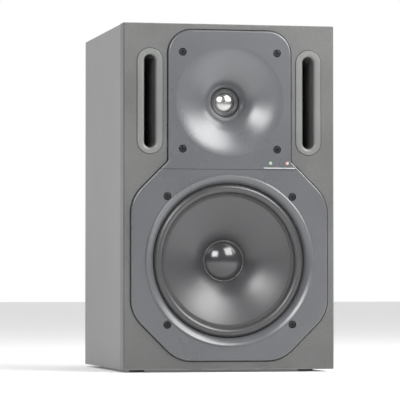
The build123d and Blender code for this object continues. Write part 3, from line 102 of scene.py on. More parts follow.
camera = bpy.data.objects.new("camera", bpy.data.cameras.new("camera"))
bpy.context.scene.collection.objects.link(camera)
camera.data.lens = LENS
camera.data.clip_start, camera.data.clip_end = 0.1, 60
camera.location = (
    baffle_middle + away_from_baffle(VIEW_AZIMUTH, VIEW_ELEVATION) * VIEW_DISTANCE
)
aim = (cad_box[0] + cad_box[1]) / 2 + AIM_OFFSET
camera.rotation_mode = "QUATERNION"
camera.rotation_quaternion = (aim - camera.location).to_track_quat("-Z", "Y")
bpy.context.scene.camera = camera

# ------------------------------------------------------------ cabinet boards
# Four fibreboard panels, mitred into a box behind the baffle and sprayed
# with the baffle's fine textured grey lacquer in a lighter copy: painted light for the side's
# lighting.
# Their long arrises are eased, and the lacquer is a little lighter where those have been rubbed.
ARRIS, ARRIS_STEPS, RUB_WIDTH = 0.0012, 4, 1 / 650
DUST_COLOUR = (0.42, 0.41, 0.39, 1)


def new_group(name, inputs, outputs):
    """Empty shader group with its float outputs; gives the tree and both ends."""
    tree = bpy.data.node_groups.new(name, "ShaderNodeTree")
    for title, kind, value in inputs:
        socket = tree.interface.new_socket(title, in_out="INPUT", socket_type=kind)
        if value is not None:
            socket.default_value = value
    for title in outputs:
        tree.interface.new_socket(title, in_out="OUTPUT", socket_type="NodeSocketFloat")
    return tree, tree.nodes.new("NodeGroupInput").outputs, tree.nodes.new("NodeGroupOutput").inputs


def pattern_group(name, grain):
    """Group for one kind of surface: a place and a grain in, tone, sheen and height out."""
    return new_group(
        name,
        [("Vector", "NodeSocketVector", None), ("Grain", "NodeSocketFloat", grain)],
        ["Tone", "Sheen", "Height"],
    )


def sum_node(tree, operation, first, second, clamp=False):
    """Math node on two sockets or numbers."""
    node = tree.nodes.new("ShaderNodeMath")
    node.operation, node.use_clamp = operation, clamp
    for socket, value in zip(node.inputs, (first, second)):
        if isinstance(value, (int, float)):
            socket.default_value = value
        else:
            tree.links.new(value, socket)
    return node.outputs[0]


def noise_node(tree, vector, scale, detail=2.0, roughness=0.5):
    node = tree.nodes.new("ShaderNodeTexNoise")
    node.inputs["Detail"].default_value = detail
    node.inputs["Roughness"].default_value = roughness
    tree.links.new(vector, node.inputs["Vector"])
    if isinstance(scale, (int, float)):
        node.inputs["Scale"].default_value = scale
    else:
        tree.links.new(scale, node.inputs["Scale"])
    return node.outputs[0]


def blended(tree, first, second, share):
    """Weighted sum of two values."""
    return sum_node(
        tree, "ADD", sum_node(tree, "MULTIPLY", first, 1 - share),
        sum_node(tree, "MULTIPLY", second, share),
    )


def build_textured_coat():
    """Sprayed or spark-eroded texture: fine pips, broad mottle and a slow sheen change."""
    tree, given, out = pattern_group("textured_coat", 900.0)
    pips = noise_node(tree, given["Vector"], given["Grain"], 3.0, 0.62)
    cells = tree.nodes.new("ShaderNodeTexVoronoi")
    cells.feature = "SMOOTH_F1"
    tree.links.new(given["Vector"], cells.inputs["Vector"])
    tree.links.new(given["Grain"], cells.inputs["Scale"])
    mottle = noise_node(tree, given["Vector"], 14.0, 4.0)
    patches = noise_node(tree, given["Vector"], 5.0, 2.0)
    tree.links.new(blended(tree, pips, mottle, 0.4), out["Tone"])
    tree.links.new(blended(tree, mottle, patches, 0.5), out["Sheen"])
    dimple = sum_node(tree, "SUBTRACT", 1.0, cells.outputs["Distance"])
    tree.links.new(blended(tree, pips, dimple, 0.5), out["Height"])
    return tree


def build_handling():
    """Faint dust on faces that look up, and thin rubbed streaks."""
    tree, given, out = new_group(
        "handling",
        [("Vector", "NodeSocketVector", None), ("Amount", "NodeSocketFloat", 0.3)],
        ["Dust", "Rub"],
    )
    facing = tree.nodes.new("ShaderNodeSeparateXYZ")
    tree.links.new(tree.nodes.new("ShaderNodeNewGeometry").outputs["Normal"], facing.inputs[0])
    upward = sum_node(
        tree, "MULTIPLY", sum_node(tree, "SUBTRACT", facing.outputs[2], 0.35), 1.6, True
    )
    specks = noise_node(tree, given["Vector"], 260.0, 5.0, 0.7)
    settled = sum_node(tree, "MULTIPLY", sum_node(tree, "SUBTRACT", specks, 0.4), 2.2, True)
    dust = sum_node(tree, "MULTIPLY", upward, settled)
    tree.links.new(sum_node(tree, "MULTIPLY", dust, given["Amount"]), out["Dust"])
    stretch = tree.nodes.new("ShaderNodeMapping")
    stretch.inputs["Scale"].default_value = (40.0, 40.0, 7.0)
    tree.links.new(given["Vector"], stretch.inputs["Vector"])
    streaks = noise_node(tree, stretch.outputs[0], 1.0, 6.0, 0.6)
    rubbed = sum_node(tree, "MULTIPLY", sum_node(tree, "SUBTRACT", streaks, 0.48), 1.8, True)
    tree.links.new(sum_node(tree, "MULTIPLY", rubbed, given["Amount"]), out["Rub"])
    return tree


TEXTURED_COAT = build_textured_coat()
HANDLING = build_handling()


def surface(name, dark, light, rough, pattern=TEXTURED_COAT, grain=900.0, relief=0.00004,
            dust=0.25, middle=None, **sockets):
    """Finish with two near tones, a span of roughness, relief from its pattern, and handling."""
    material = bpy.data.materials.new(name)
    material.use_nodes = True
    tree = material.node_tree
    shader = tree.nodes["Principled BSDF"]
    for title, value in sockets.items():
        shader.inputs[title.replace("_", " ")].default_value = value
    place = tree.nodes.new("ShaderNodeTexCoord").outputs["Object"]
    if middle is not None:
        centred = tree.nodes.new("ShaderNodeMapping")
        centred.inputs["Location"].default_value = -Vector(middle)
        tree.links.new(place, centred.inputs["Vector"])
        place = centred.outputs[0]
    made = tree.nodes.new("ShaderNodeGroup")
    made.node_tree = pattern
    made.inputs["Grain"].default_value = grain
    worn = tree.nodes.new("ShaderNodeGroup")
    worn.node_tree = HANDLING
    worn.inputs["Amount"].default_value = dust
    tree.links.new(place, made.inputs["Vector"])
    tree.links.new(place, worn.inputs["Vector"])

    ramp = tree.nodes.new("ShaderNodeValToRGB")
    for stop, position, colour in zip(ramp.color_ramp.elements, (0.36, 0.64), (dark, light)):
        stop.position, stop.color = position, (*colour, 1)
    tree.links.new(made.outputs["Tone"], ramp.inputs[0])
    dusted = tree.nodes.new("ShaderNodeMix")
    dusted.name, dusted.data_type = "dusted", "RGBA"
    dusted.inputs["B"].default_value = DUST_COLOUR
    tree.links.new(worn.outputs["Dust"], dusted.inputs["Factor"])
    tree.links.new(ramp.outputs[0], dusted.inputs["A"])
    tree.links.new(dusted.outputs["Result"], shader.inputs["Base Color"])

    span = tree.nodes.new("ShaderNodeMapRange")
    span.inputs["From Min"].default_value, span.inputs["From Max"].default_value = 0.3, 0.7
    span.inputs["To Min"].default_value, span.inputs["To Max"].default_value = rough
    tree.links.new(made.outputs["Sheen"], span.inputs["Value"])
    smoothed = sum_node(tree, "MULTIPLY", worn.outputs["Rub"], -0.12)
    dulled = sum_node(tree, "MULTIPLY", worn.outputs["Dust"], 0.4)
    handled = sum_node(tree, "ADD", smoothed, dulled)
    tree.links.new(sum_node(tree, "ADD", span.outputs[0], handled), shader.inputs["Roughness"])

    bump = tree.nodes.new("ShaderNodeBump")
    bump.inputs["Distance"].default_value = relief
    tree.links.new(made.outputs["Height"], bump.inputs["Height"])
    tree.links.new(bump.outputs[0], shader.inputs["Normal"])
    return material


def finished(name, shape, material, body, smooth_angle=35):
    """Piece made from a bmesh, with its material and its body."""
    bmesh.ops.recalc_face_normals(shape, faces=shape.faces)
    mesh = bpy.data.meshes.new(name)
    shape.to_mesh(mesh)
    shape.free()
    mesh.shade_smooth()
    mesh.set_sharp_from_angle(angle=math.radians(smooth_angle))
    mesh.materials.append(material)
    piece = bpy.data.objects.new(name, mesh)
    bpy.context.scene.collection.objects.link(piece)
    if body:
        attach(piece, body)
    return piece


def repaint(material, *nodes):
    """Gives the finish to CAD nodes whose shape stays."""
    for name in nodes:
        slots = frame["nodes"][name].data.materials
        for index in range(len(slots)):
            slots[index] = material


def add_block(shape, low, high):
    """Box between two corners; gives its vertices."""
    made = bmesh.ops.create_cube(shape, size=1.0)["verts"]
    low, high = Vector(low), Vector(high)
    bmesh.ops.scale(shape, vec=high - low, verts=made)
    bmesh.ops.translate(shape, vec=(high + low) / 2, verts=made)
    return made


left_low, left_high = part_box("left_side_panel")
right_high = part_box("right_side_panel")[1]
BOARD_THICKNESS = left_high.x - left_low.x
case_half = (right_high - left_low) / 2
case_middle = (right_high + left_low) / 2


def build_edge_rub():
    """Mask that is 1 on the twelve arrises of the case, and fades within a millimetre or two."""
    tree, given, out = new_group(
        "edge_rub", [("Vector", "NodeSocketVector", None)], ["Mask"]
    )
    apart = tree.nodes.new("ShaderNodeSeparateXYZ")
    tree.links.new(given["Vector"], apart.inputs[0])
    middle_y = (baffle_low.y + right_high.y) / 2
    gaps = []
    for axis, middle, half in (
        (0, case_middle.x, case_half.x),
        (1, middle_y, right_high.y - middle_y),
        (2, case_middle.z, case_half.z),
    ):
        offset = sum_node(tree, "SUBTRACT", apart.outputs[axis], middle)
        gaps.append(sum_node(tree, "SUBTRACT", half, sum_node(tree, "ABSOLUTE", offset, 0.0)))
    smaller = sum_node(tree, "MINIMUM", gaps[0], gaps[1])
    larger = sum_node(tree, "MAXIMUM", gaps[0], gaps[1])
    second = sum_node(tree, "MAXIMUM", smaller, sum_node(tree, "MINIMUM", larger, gaps[2]))
    near = sum_node(tree, "SUBTRACT", 1.0, sum_node(tree, "DIVIDE", second, RUB_WIDTH), True)
    wear = noise_node(tree, given["Vector"], 60.0, 5.0, 0.65)
    chipped = sum_node(tree, "MULTIPLY", sum_node(tree, "SUBTRACT", wear, 0.35), 2.6, True)
    tree.links.new(sum_node(tree, "MULTIPLY", near, chipped), out["Mask"])
    return tree


EDGE_RUB = build_edge_rub()


def rub_edges(material, bare):
    """Mixes a lighter, bare tone over the base colour where the arrises are rubbed."""
    tree = material.node_tree
    mask = tree.nodes.new("ShaderNodeGroup")
    mask.node_tree = EDGE_RUB
    tree.links.new(tree.nodes.new("ShaderNodeTexCoord").outputs["Object"], mask.inputs[0])
    mix = tree.nodes.new("ShaderNodeMix")
    mix.data_type = "RGBA"
    mix.inputs["B"].default_value = (*bare, 1)
    tree.links.new(mask.outputs[0], mix.inputs["Factor"])
    tree.links.new(tree.nodes["dusted"].outputs["Result"], mix.inputs["A"])
    tree.links.new(mix.outputs["Result"], tree.nodes["Principled BSDF"].inputs["Base Color"])


# Painted light: the boards' lacquer is the baffle's lacquer made lighter for the light that falls on
# the cabinet's side.
lit_cabinet_lacquer = surface(
    "lit_cabinet_lacquer", (0.162, 0.163, 0.161), (0.206, 0.207, 0.205), (0.40, 0.50),
    grain=1100.0, relief=0.00004, Specular_IOR_Level=0.5,
)
rub_edges(lit_cabinet_lacquer, (0.26, 0.26, 0.255))


def mitred_board(name, outward):
    """One board: the whole case with eased arrises, cut back to the board and its mitres."""
    shape = bmesh.new()
    add_block(shape, left_low, right_high)
    lengthwise = [e for e in shape.edges if abs((e.verts[0].co - e.verts[1].co).y) > ARRIS]
    bmesh.ops.bevel(
        shape, geom=lengthwise, offset=ARRIS, affect="EDGES", segments=ARRIS_STEPS, profile=0.5,
        material=-1,
    )
    along = Vector((0, 0, 1)) if outward.x else Vector((1, 0, 0))
    face = case_middle + outward * abs(case_half.dot(outward))
    cuts = [(face - outward * BOARD_THICKNESS, outward)]
    for side in (-1, 1):
        corner = face + along * side * case_half.dot(along)
        cuts.append((corner, outward - along * side))
    for place, keep in cuts:
        cut = bmesh.ops.bisect_plane(
            shape, geom=shape.verts[:] + shape.edges[:] + shape.faces[:], plane_co=place,
            plane_no=keep.normalized(), clear_inner=True,
        )["geom_cut"]
        bmesh.ops.edgenet_fill(shape, edges=[e for e in cut if isinstance(e, bmesh.types.BMEdge)])
    board = finished(name + "_lacquered", shape, lit_cabinet_lacquer, "cabinet")
    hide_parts(name)


mitred_board("left_side_panel", Vector((-1, 0, 0)))
mitred_board("right_side_panel", Vector((1, 0, 0)))
mitred_board("top_panel", Vector((0, 0, 1)))
mitred_board("bottom_panel", Vector((0, 0, -1)))
repaint(lit_cabinet_lacquer, "rear_panel")

# ------------------------------------------------------ baffle, feet, lining
# The baffle is a thicker board across the whole front, in the darker tone of
# the lacquer; the boards' lighter tone of it is painted light. The feet are turned rubber, the
# lining is open-cell foam.
baffle_lacquer = surface(
    "baffle_lacquer", (0.068, 0.069, 0.067), (0.098, 0.100, 0.097), (0.34, 0.44), grain=900.0,
    relief=0.00007, dust=0.2,
)
rub_edges(baffle_lacquer, (0.17, 0.17, 0.165))
repaint(baffle_lacquer, "front_baffle")

foot_rubber = surface(
    "foot_rubber", (0.010, 0.010, 0.010), (0.026, 0.026, 0.026), (0.6, 0.75), relief=0.00005
)
repaint(foot_rubber, "rubber_feet")

lining_foam = surface(
    "lining_foam", (0.02, 0.02, 0.022), (0.11, 0.11, 0.11), (0.9, 1.0), grain=420.0, relief=0.001
)
repaint(lining_foam, "damping_foam")

# --------------------------------------------------------------------- ports
# Two slot ducts, each moulded with a rounded trim ring that sits in a
# recess of the baffle, in satin grey plastic with a spark-eroded texture.
port_plastic = surface(
    "port_plastic", (0.105, 0.108, 0.105), (0.14, 0.144, 0.139), (0.28, 0.38), grain=1500.0,
    relief=0.00003, dust=0.2, Specular_IOR_Level=0.6,
)
repaint(port_plastic, "left_port_duct", "right_port_duct")

# ------------------------------------------------------------ tweeter motor
# Ferrite ring between a steel top plate and a yoke, behind the waveguide's
# seat, with the dome's coil in the gap. The steel is turned and zinc plated.


def build_turned_metal():
    """Fine concentric tool marks about an axis along Y."""
    tree, given, out = pattern_group("turned_metal", 3000.0)
    flat = tree.nodes.new("ShaderNodeVectorMath")
    flat.operation = "MULTIPLY"
    flat.inputs[1].default_value = (1, 0, 1)
    tree.links.new(given["Vector"], flat.inputs[0])
    radius = tree.nodes.new("ShaderNodeVectorMath")
    radius.operation = "LENGTH"
    tree.links.new(flat.outputs[0], radius.inputs[0])
    along = tree.nodes.new("ShaderNodeCombineXYZ")
    tree.links.new(radius.outputs["Value"], along.inputs[0])
    marks = noise_node(tree, along.outputs[0], given["Grain"], 4.0, 0.6)
    cloud = noise_node(tree, given["Vector"], 40.0, 3.0)
    tree.links.new(blended(tree, marks, cloud, 0.5), out["Tone"])
    tree.links.new(blended(tree, marks, cloud, 0.6), out["Sheen"])
    tree.links.new(marks, out["Height"])
    return tree


TURNED_METAL = build_turned_metal()


def centre_of(node):
    low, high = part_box(node)
    return (low + high) / 2


tweeter_axis = centre_of("tweeter_dome")
plated_steel = surface(
    "plated_steel", (0.46, 0.46, 0.44), (0.62, 0.62, 0.59), (0.26, 0.42), TURNED_METAL,
    grain=1600.0, relief=0.00002, dust=0.15, middle=tweeter_axis, Metallic=1.0,
)
repaint(plated_steel, "tweeter_top_plate", "tweeter_yoke")
ferrite = surface(
    "ferrite", (0.03, 0.03, 0.032), (0.07, 0.068, 0.066), (0.5, 0.7), grain=600.0, relief=0.00006
)
repaint(ferrite, "tweeter_magnet", "woofer_magnet")


def build_wound_wire():
    """Turns of enamelled wire laid side by side along Y."""
    tree, given, out = pattern_group("wound_wire", 12000.0)
    apart = tree.nodes.new("ShaderNodeSeparateXYZ")
    tree.links.new(given["Vector"], apart.inputs[0])
    across = sum_node(tree, "MULTIPLY", apart.outputs[1], given["Grain"])
    turns = sum_node(tree, "SINE", across, 0.0)
    raised = sum_node(tree, "MULTIPLY", sum_node(tree, "ADD", turns, 1.0), 0.5)
    cloud = noise_node(tree, given["Vector"], 120.0, 3.0)
    tree.links.new(blended(tree, raised, cloud, 0.5), out["Tone"])
    tree.links.new(cloud, out["Sheen"])
    tree.links.new(raised, out["Height"])
    return tree


WOUND_WIRE = build_wound_wire()
coil_wire = surface(
    "coil_wire", (0.30, 0.10, 0.03), (0.62, 0.27, 0.10), (0.25, 0.4), WOUND_WIRE,
    grain=12000.0, relief=0.00012, dust=0.0, Metallic=0.8,
)
repaint(coil_wire, "tweeter_voice_coil", "woofer_voice_coil")

# ------------------------------------------------------------- tweeter dome
# A drawn metal dome one inch across, satin on its face, on a soft half-roll
# surround that is glued to the landing behind the throat.
dome_metal = surface(
    "dome_metal", (0.34, 0.34, 0.335), (0.44, 0.44, 0.43), (0.2, 0.27), TURNED_METAL,
    grain=2600.0, relief=0.000006, dust=0.03, middle=tweeter_axis, Metallic=1.0,
)
repaint(dome_metal, "tweeter_dome")

surround_rubber = surface(
    "surround_rubber", (0.030, 0.030, 0.031), (0.044, 0.044, 0.046), (0.26, 0.36), grain=1600.0,
    relief=0.00002, dust=0.06, Specular_IOR_Level=0.6,
)


SECTOR_STEPS = 8


def bending_ring(name, node, line, skin, middle, sectors, material):
    """Soft ring in sectors, from an outer to an inner reach.
    Each is turned about an axis along Y from (radius, y) points, and given its skin."""
    for index in range(sectors):
        start = math.tau * index / sectors
        spoke = Vector((math.cos(start), 0, math.sin(start)))
        shape = bmesh.new()
        points = [
            shape.verts.new(Vector((middle.x, y, middle.z)) + spoke * radius) for radius, y in line
        ]
        edges = [shape.edges.new(pair) for pair in zip(points, points[1:])]
        bmesh.ops.spin(
            shape, geom=points + edges, cent=(middle.x, 0, middle.z), axis=(0, -1, 0),
            angle=math.tau / sectors, steps=SECTOR_STEPS,
        )
        bmesh.ops.recalc_face_normals(shape, faces=shape.faces)
        if sum(face.normal.y for face in shape.faces) > 0:
            bmesh.ops.reverse_faces(shape, faces=shape.faces)
        bmesh.ops.solidify(shape, geom=shape.faces[:], thickness=skin)
        piece = finished(f"{name}_{index + 1:02d}", shape, material, None, 50)
        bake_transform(piece)
        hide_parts(node)


def half_roll(outer, inner, bulge, count):
    """Points of a half-roll between two (radius, y) feet, standing proud towards -Y."""
    points = []
    for index in range(count + 1):
        turn = math.pi * index / count
        share = (1 - math.cos(turn)) / 2
        radius = outer[0] + (inner[0] - outer[0]) * share
        points.append((radius, outer[1] + (inner[1] - outer[1]) * share - math.sin(turn) * bulge))
    return points


# ------------------------------------------------- woofer frame and magnet
# Cast basket in black powder coat, with a plated top plate, a ferrite ring
# and a yoke with its vented pole. A foam gasket seals its flange.
woofer_axis = centre_of("woofer_frame")
powder_coat = surface(
    "powder_coat", (0.012, 0.012, 0.013), (0.028, 0.028, 0.03), (0.42, 0.56), grain=1300.0,
    relief=0.00008, dust=0.3,
)
repaint(powder_coat, "woofer_frame")
woofer_steel = surface(
    "woofer_steel", (0.46, 0.46, 0.44), (0.62, 0.62, 0.59), (0.26, 0.42), TURNED_METAL,
    grain=1200.0, relief=0.00003, dust=0.15, middle=woofer_axis, Metallic=1.0,
)
repaint(woofer_steel, "woofer_top_plate", "woofer_yoke")
gasket_foam = surface(
    "gasket_foam", (0.012, 0.012, 0.012), (0.035, 0.035, 0.035), (0.8, 0.95), grain=700.0,
    relief=0.0002,
)
repaint(gasket_foam, "woofer_gasket")

# ------------------------------------------------- cone, cap, former, spider
# A moulded polymer cone with a curved wall and a domed cap, stuck down with a
# bead of glue. The coil's foil former is centred by a corrugated cloth spider.
GLUE_BEAD, BEAD_SIDES, BEAD_STEPS = 0.0007, 10, 120
SPIDER_OUTER_FOOT, SPIDER_OUTER_WAVE = 0.0540, 0.0480
SPIDER_INNER_WAVE, SPIDER_INNER_FOOT = 0.0223, 0.0193
SPIDER_WAVES, SPIDER_WAVE_HEIGHT, SPIDER_CLOTH = 5, 0.0019, 0.0006
SPIDER_POINTS, SPIDER_SECTORS = 8 * SPIDER_WAVES, 16

cone_polymer = surface(
    "cone_polymer", (0.026, 0.026, 0.028), (0.034, 0.034, 0.037), (0.3, 0.36), grain=1300.0,
    relief=0.000008, dust=0.04, Specular_IOR_Level=0.7,
)
repaint(cone_polymer, "woofer_cone")
cap_polymer = surface(
    "cap_polymer", (0.024, 0.024, 0.026), (0.032, 0.032, 0.035), (0.15, 0.19), grain=1300.0,
    relief=0.000006, dust=0.04, Specular_IOR_Level=0.7,
)
repaint(cap_polymer, "woofer_dust_cap")

glue = surface(
    "clear_glue", (0.05, 0.048, 0.044), (0.09, 0.085, 0.075), (0.16, 0.26), grain=200.0,
    relief=0.0002, dust=0.0,
)
cap_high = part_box("woofer_dust_cap")[1]
bead = bmesh.new()
bmesh.ops.create_circle(
    bead, segments=BEAD_SIDES, radius=GLUE_BEAD,
    matrix=Matrix.Translation((cap_high.x, cap_high.y - GLUE_BEAD / 2, woofer_axis.z)),
)
bmesh.ops.spin(
    bead, geom=bead.verts[:] + bead.edges[:], cent=(0, cap_high.y, woofer_axis.z), axis=(0, 1, 0),
    angle=math.tau, steps=BEAD_STEPS, use_merge=True,
)
finished("dust_cap_glue", bead, glue, "woofer_moving_parts", 180)

foil = surface(
    "former_foil", (0.55, 0.55, 0.54), (0.7, 0.7, 0.69), (0.25, 0.4), grain=500.0,
    relief=0.00002, dust=0.0, Metallic=1.0,
)
repaint(foil, "woofer_coil_former")


def build_woven_cloth():
    """Plain weave, threads along X and Z, with darker gaps."""
    tree, given, out = pattern_group("woven_cloth", 9000.0)
    apart = tree.nodes.new("ShaderNodeSeparateXYZ")
    tree.links.new(given["Vector"], apart.inputs[0])
    threads = []
    for axis in (0, 2):
        turn = sum_node(tree, "MULTIPLY", apart.outputs[axis], given["Grain"])
        threads.append(sum_node(tree, "ABSOLUTE", sum_node(tree, "SINE", turn, 0.0), 0.0))
    weave = sum_node(tree, "MULTIPLY", threads[0], threads[1])
    cloud = noise_node(tree, given["Vector"], 90.0, 4.0)
    tree.links.new(blended(tree, weave, cloud, 0.5), out["Tone"])
    tree.links.new(cloud, out["Sheen"])
    tree.links.new(weave, out["Height"])
    return tree


spider_cloth = surface(
    "spider_cloth", (0.30, 0.18, 0.06), (0.52, 0.37, 0.16), (0.7, 0.85), build_woven_cloth(),
    grain=9000.0, relief=0.00015,
)
spider_low, spider_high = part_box("woofer_spider")
spider_y = (spider_low.y + spider_high.y - SPIDER_CLOTH) / 2
spider_line = [(SPIDER_OUTER_FOOT, spider_y), (SPIDER_OUTER_WAVE, spider_y)]
for step in range(1, SPIDER_POINTS):
    share = step / SPIDER_POINTS
    wave = math.sin(share * math.tau * SPIDER_WAVES) * SPIDER_WAVE_HEIGHT
    radius = SPIDER_OUTER_WAVE + (SPIDER_INNER_WAVE - SPIDER_OUTER_WAVE) * share
    spider_line.append((radius, spider_y + wave))
spider_line += [(SPIDER_INNER_WAVE, spider_y), (SPIDER_INNER_FOOT, spider_y)]
bending_ring(
    "spider_sector", "woofer_spider", spider_line, SPIDER_CLOTH,
    Vector((0, spider_y, woofer_axis.z)),
    SPIDER_SECTORS, spider_cloth,
)

# ----------------------------------------------------------- woofer surround
# A moulded rubber half-roll. Its outer foot lies on the gasket's step and its
# inner foot is glued on the cone's flat lip.
ROLL_OUTER, ROLL_INNER, ROLL_SKIN, ROLL_LIP = 0.0892, 0.0780, 0.0008, 0.0032
ROLL_STEPS, ROLL_SECTORS = 20, 32
surround_low, surround_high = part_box("woofer_surround")
roll_face = surround_high.y - ROLL_SKIN
roll_line = [(surround_high.x, roll_face)]
roll_line += half_roll(
    (ROLL_OUTER, roll_face), (ROLL_INNER, roll_face), roll_face - surround_low.y, ROLL_STEPS
)
roll_line += [(ROLL_INNER - ROLL_LIP, roll_face)]
bending_ring(
    "surround_sector", "woofer_surround", roll_line, ROLL_SKIN,
    Vector((0, roll_face, woofer_axis.z)),
    ROLL_SECTORS, surround_rubber,
)

# ---------------------------------------------------------- tweeter surround
# The same kind of roll, much smaller, between the dome's rim and the throat.
SMALL_OUTER, SMALL_INNER, SMALL_SKIN, SMALL_BULGE = 0.0170, 0.0132, 0.0004, 0.0016
SMALL_LIP, SMALL_STEPS, SMALL_SECTORS = 0.001, 10, 16
soft_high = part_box("tweeter_surround")[1]
landing_y = soft_high.y - SMALL_SKIN
small_line = [(soft_high.x, landing_y)]
small_line += half_roll((SMALL_OUTER, landing_y), (SMALL_INNER, landing_y), SMALL_BULGE, SMALL_STEPS)
small_line += [(SMALL_INNER - SMALL_LIP, landing_y)]
bending_ring(
    "tweeter_surround_sector", "tweeter_surround", small_line, SMALL_SKIN,
    Vector((0, landing_y, tweeter_axis.z)),
    SMALL_SECTORS, surround_rubber,
)

# ---------------------------------------------------- front plates and screws
# The tweeter plate with its flared waveguide and the bezel round the woofer
# are moulded in fine-textured bluish grey. Black pan-head screws hold both.
front_moulding = surface(
    "front_moulding", (0.067, 0.069, 0.074), (0.077, 0.080, 0.086), (0.26, 0.31), grain=1600.0,
    relief=0.000006, dust=0.06, Specular_IOR_Level=0.75,
)
repaint(front_moulding, "tweeter_waveguide", "woofer_bezel")
screw_steel = surface(
    "screw_steel", (0.010, 0.010, 0.011), (0.026, 0.026, 0.028), (0.3, 0.45), relief=0.00001,
    dust=0.1, Metallic=0.5,
)
repaint(screw_steel, "tweeter_screws", "woofer_screws", "amplifier_plate_screws")

# --------------------------------------------------------------------- lamps
# Light pipes for power and limit, unlit, in tinted clear plastic, over a
# thin pale strip along the seam in print ink: a painted highlight where the seam's edge catches the
# light.
SEAM_HIGHLIGHT_START, SEAM_HIGHLIGHT_END, SEAM_HIGHLIGHT_RISE, SEAM_HIGHLIGHT_WIDTH, INK = 0.040, 0.077, 0.0014, 0.0007, 0.00005
for lamp_node, tint in (("power_lamp", (0.34, 0.44, 0.34)), ("limit_lamp", (0.56, 0.34, 0.32))):
    pipe = surface(
        lamp_node + "_pipe", tint, [c * 1.25 for c in tint], (0.06, 0.12), relief=0.0, dust=0.0,
        Coat_Weight=0.7, Transmission_Weight=0.25,
    )
    repaint(pipe, lamp_node)

print_ink = surface(
    "print_ink", (0.50, 0.50, 0.50), (0.60, 0.60, 0.60), (0.4, 0.55), grain=2500.0,
    relief=0.00001, dust=0.05,
)
# Painted highlight: this pale strip under the tweeter plate stands in for the light its edge
# catches.
plate_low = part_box("tweeter_waveguide")[0]
line = bmesh.new()
add_block(
    line, (SEAM_HIGHLIGHT_START, plate_low.y - INK, plate_low.z + SEAM_HIGHLIGHT_RISE),
    (SEAM_HIGHLIGHT_END, plate_low.y + INK, plate_low.z + SEAM_HIGHLIGHT_RISE + SEAM_HIGHLIGHT_WIDTH),
)
finished("painted_seam_highlight", line, print_ink, "cabinet")

# ------------------------------------------------------------- driver wiring
# Stranded leads in soft sheaths from the circuit board to the tags, and the
# fibre tag strips on the basket and on the tweeter.
lead_sheath = surface(
    "lead_sheath", (0.16, 0.012, 0.012), (0.24, 0.02, 0.02), (0.35, 0.5), grain=500.0,
    relief=0.00003, dust=0.1,
)
repaint(lead_sheath, "driver_leads")
tag_board = surface(
    "tag_board", (0.10, 0.05, 0.02), (0.17, 0.09, 0.04), (0.45, 0.6), grain=700.0,
    relief=0.00005,
)
repaint(tag_board, "driver_terminals")

# ----------------------------------------------------------- amplifier plate
# Sheet aluminium in black fine-texture paint, screwed over the window of the
# rear panel, with an extruded, anodised heat sink on its outer face.
plate_paint = surface(
    "plate_paint", (0.018, 0.018, 0.019), (0.042, 0.042, 0.044), (0.42, 0.56), grain=1500.0,
    relief=0.00009, dust=0.25,
)
repaint(plate_paint, "amplifier_plate")


def build_drawn_lines():
    """Long faint lines along Z, as an extrusion die leaves them."""
    tree, given, out = pattern_group("drawn_lines", 1.0)
    stretch = tree.nodes.new("ShaderNodeMapping")
    stretch.inputs["Scale"].default_value = (2200.0, 2200.0, 9.0)
    tree.links.new(given["Vector"], stretch.inputs["Vector"])
    lines = noise_node(tree, stretch.outputs[0], given["Grain"], 3.0, 0.6)
    cloud = noise_node(tree, given["Vector"], 30.0, 3.0)
    tree.links.new(blended(tree, lines, cloud, 0.5), out["Tone"])
    tree.links.new(blended(tree, lines, cloud, 0.5), out["Sheen"])
    tree.links.new(lines, out["Height"])
    return tree


DRAWN_LINES = build_drawn_lines()
anodised = surface(
    "anodised", (0.016, 0.016, 0.018), (0.034, 0.034, 0.037), (0.28, 0.4), DRAWN_LINES,
    grain=1.0, relief=0.00002, dust=0.35, Metallic=0.75,
)
repaint(anodised, "heat_sink")

# ------------------------------------------------------------- circuit board
# Green glass-fibre board on nylon spacers behind the plate, with the power
# transistors and two filter capacitors.


def build_board_tracks():
    """Copper tracks under the solder mask: runs along X or Z by patches."""
    tree, given, out = pattern_group("board_tracks", 1500.0)
    apart = tree.nodes.new("ShaderNodeSeparateXYZ")
    tree.links.new(given["Vector"], apart.inputs[0])
    which = sum_node(tree, "GREATER_THAN", noise_node(tree, given["Vector"], 45.0, 0.0), 0.5)
    runs = []
    for axis in (0, 2):
        turn = sum_node(tree, "MULTIPLY", apart.outputs[axis], given["Grain"])
        runs.append(sum_node(tree, "GREATER_THAN", sum_node(tree, "SINE", turn, 0.0), 0.25))
    along_x = sum_node(tree, "MULTIPLY", which, runs[0])
    along_z = sum_node(tree, "MULTIPLY", sum_node(tree, "SUBTRACT", 1.0, which), runs[1])
    tracks = sum_node(tree, "ADD", along_x, along_z)
    cloud = noise_node(tree, given["Vector"], 60.0, 3.0)
    tree.links.new(blended(tree, tracks, cloud, 0.5), out["Tone"])
    tree.links.new(cloud, out["Sheen"])
    tree.links.new(tracks, out["Height"])
    return tree


solder_mask = surface(
    "solder_mask", (0.008, 0.05, 0.022), (0.03, 0.14, 0.06), (0.2, 0.3), build_board_tracks(),
    grain=1500.0, relief=0.00004, dust=0.1,
)
repaint(solder_mask, "amplifier_board")
nylon = surface(
    "nylon", (0.62, 0.61, 0.56), (0.74, 0.73, 0.68), (0.4, 0.5), grain=500.0, relief=0.00002
)
repaint(nylon, "board_spacers")
black_epoxy = surface(
    "black_epoxy", (0.012, 0.012, 0.013), (0.024, 0.024, 0.025), (0.35, 0.5), grain=2200.0,
    relief=0.00003, dust=0.1,
)
repaint(black_epoxy, "power_transistors")
can_sleeve = surface(
    "can_sleeve", (0.010, 0.014, 0.035), (0.018, 0.024, 0.055), (0.16, 0.24), grain=300.0,
    relief=0.00001, dust=0.1, Coat_Weight=0.3,
)
repaint(can_sleeve, "filter_capacitors")

# --------------------------------------------------------------- transformer
# Ring core with its winding wrapped in overlapping tape, held to the plate by
# a bolt through a dished washer.


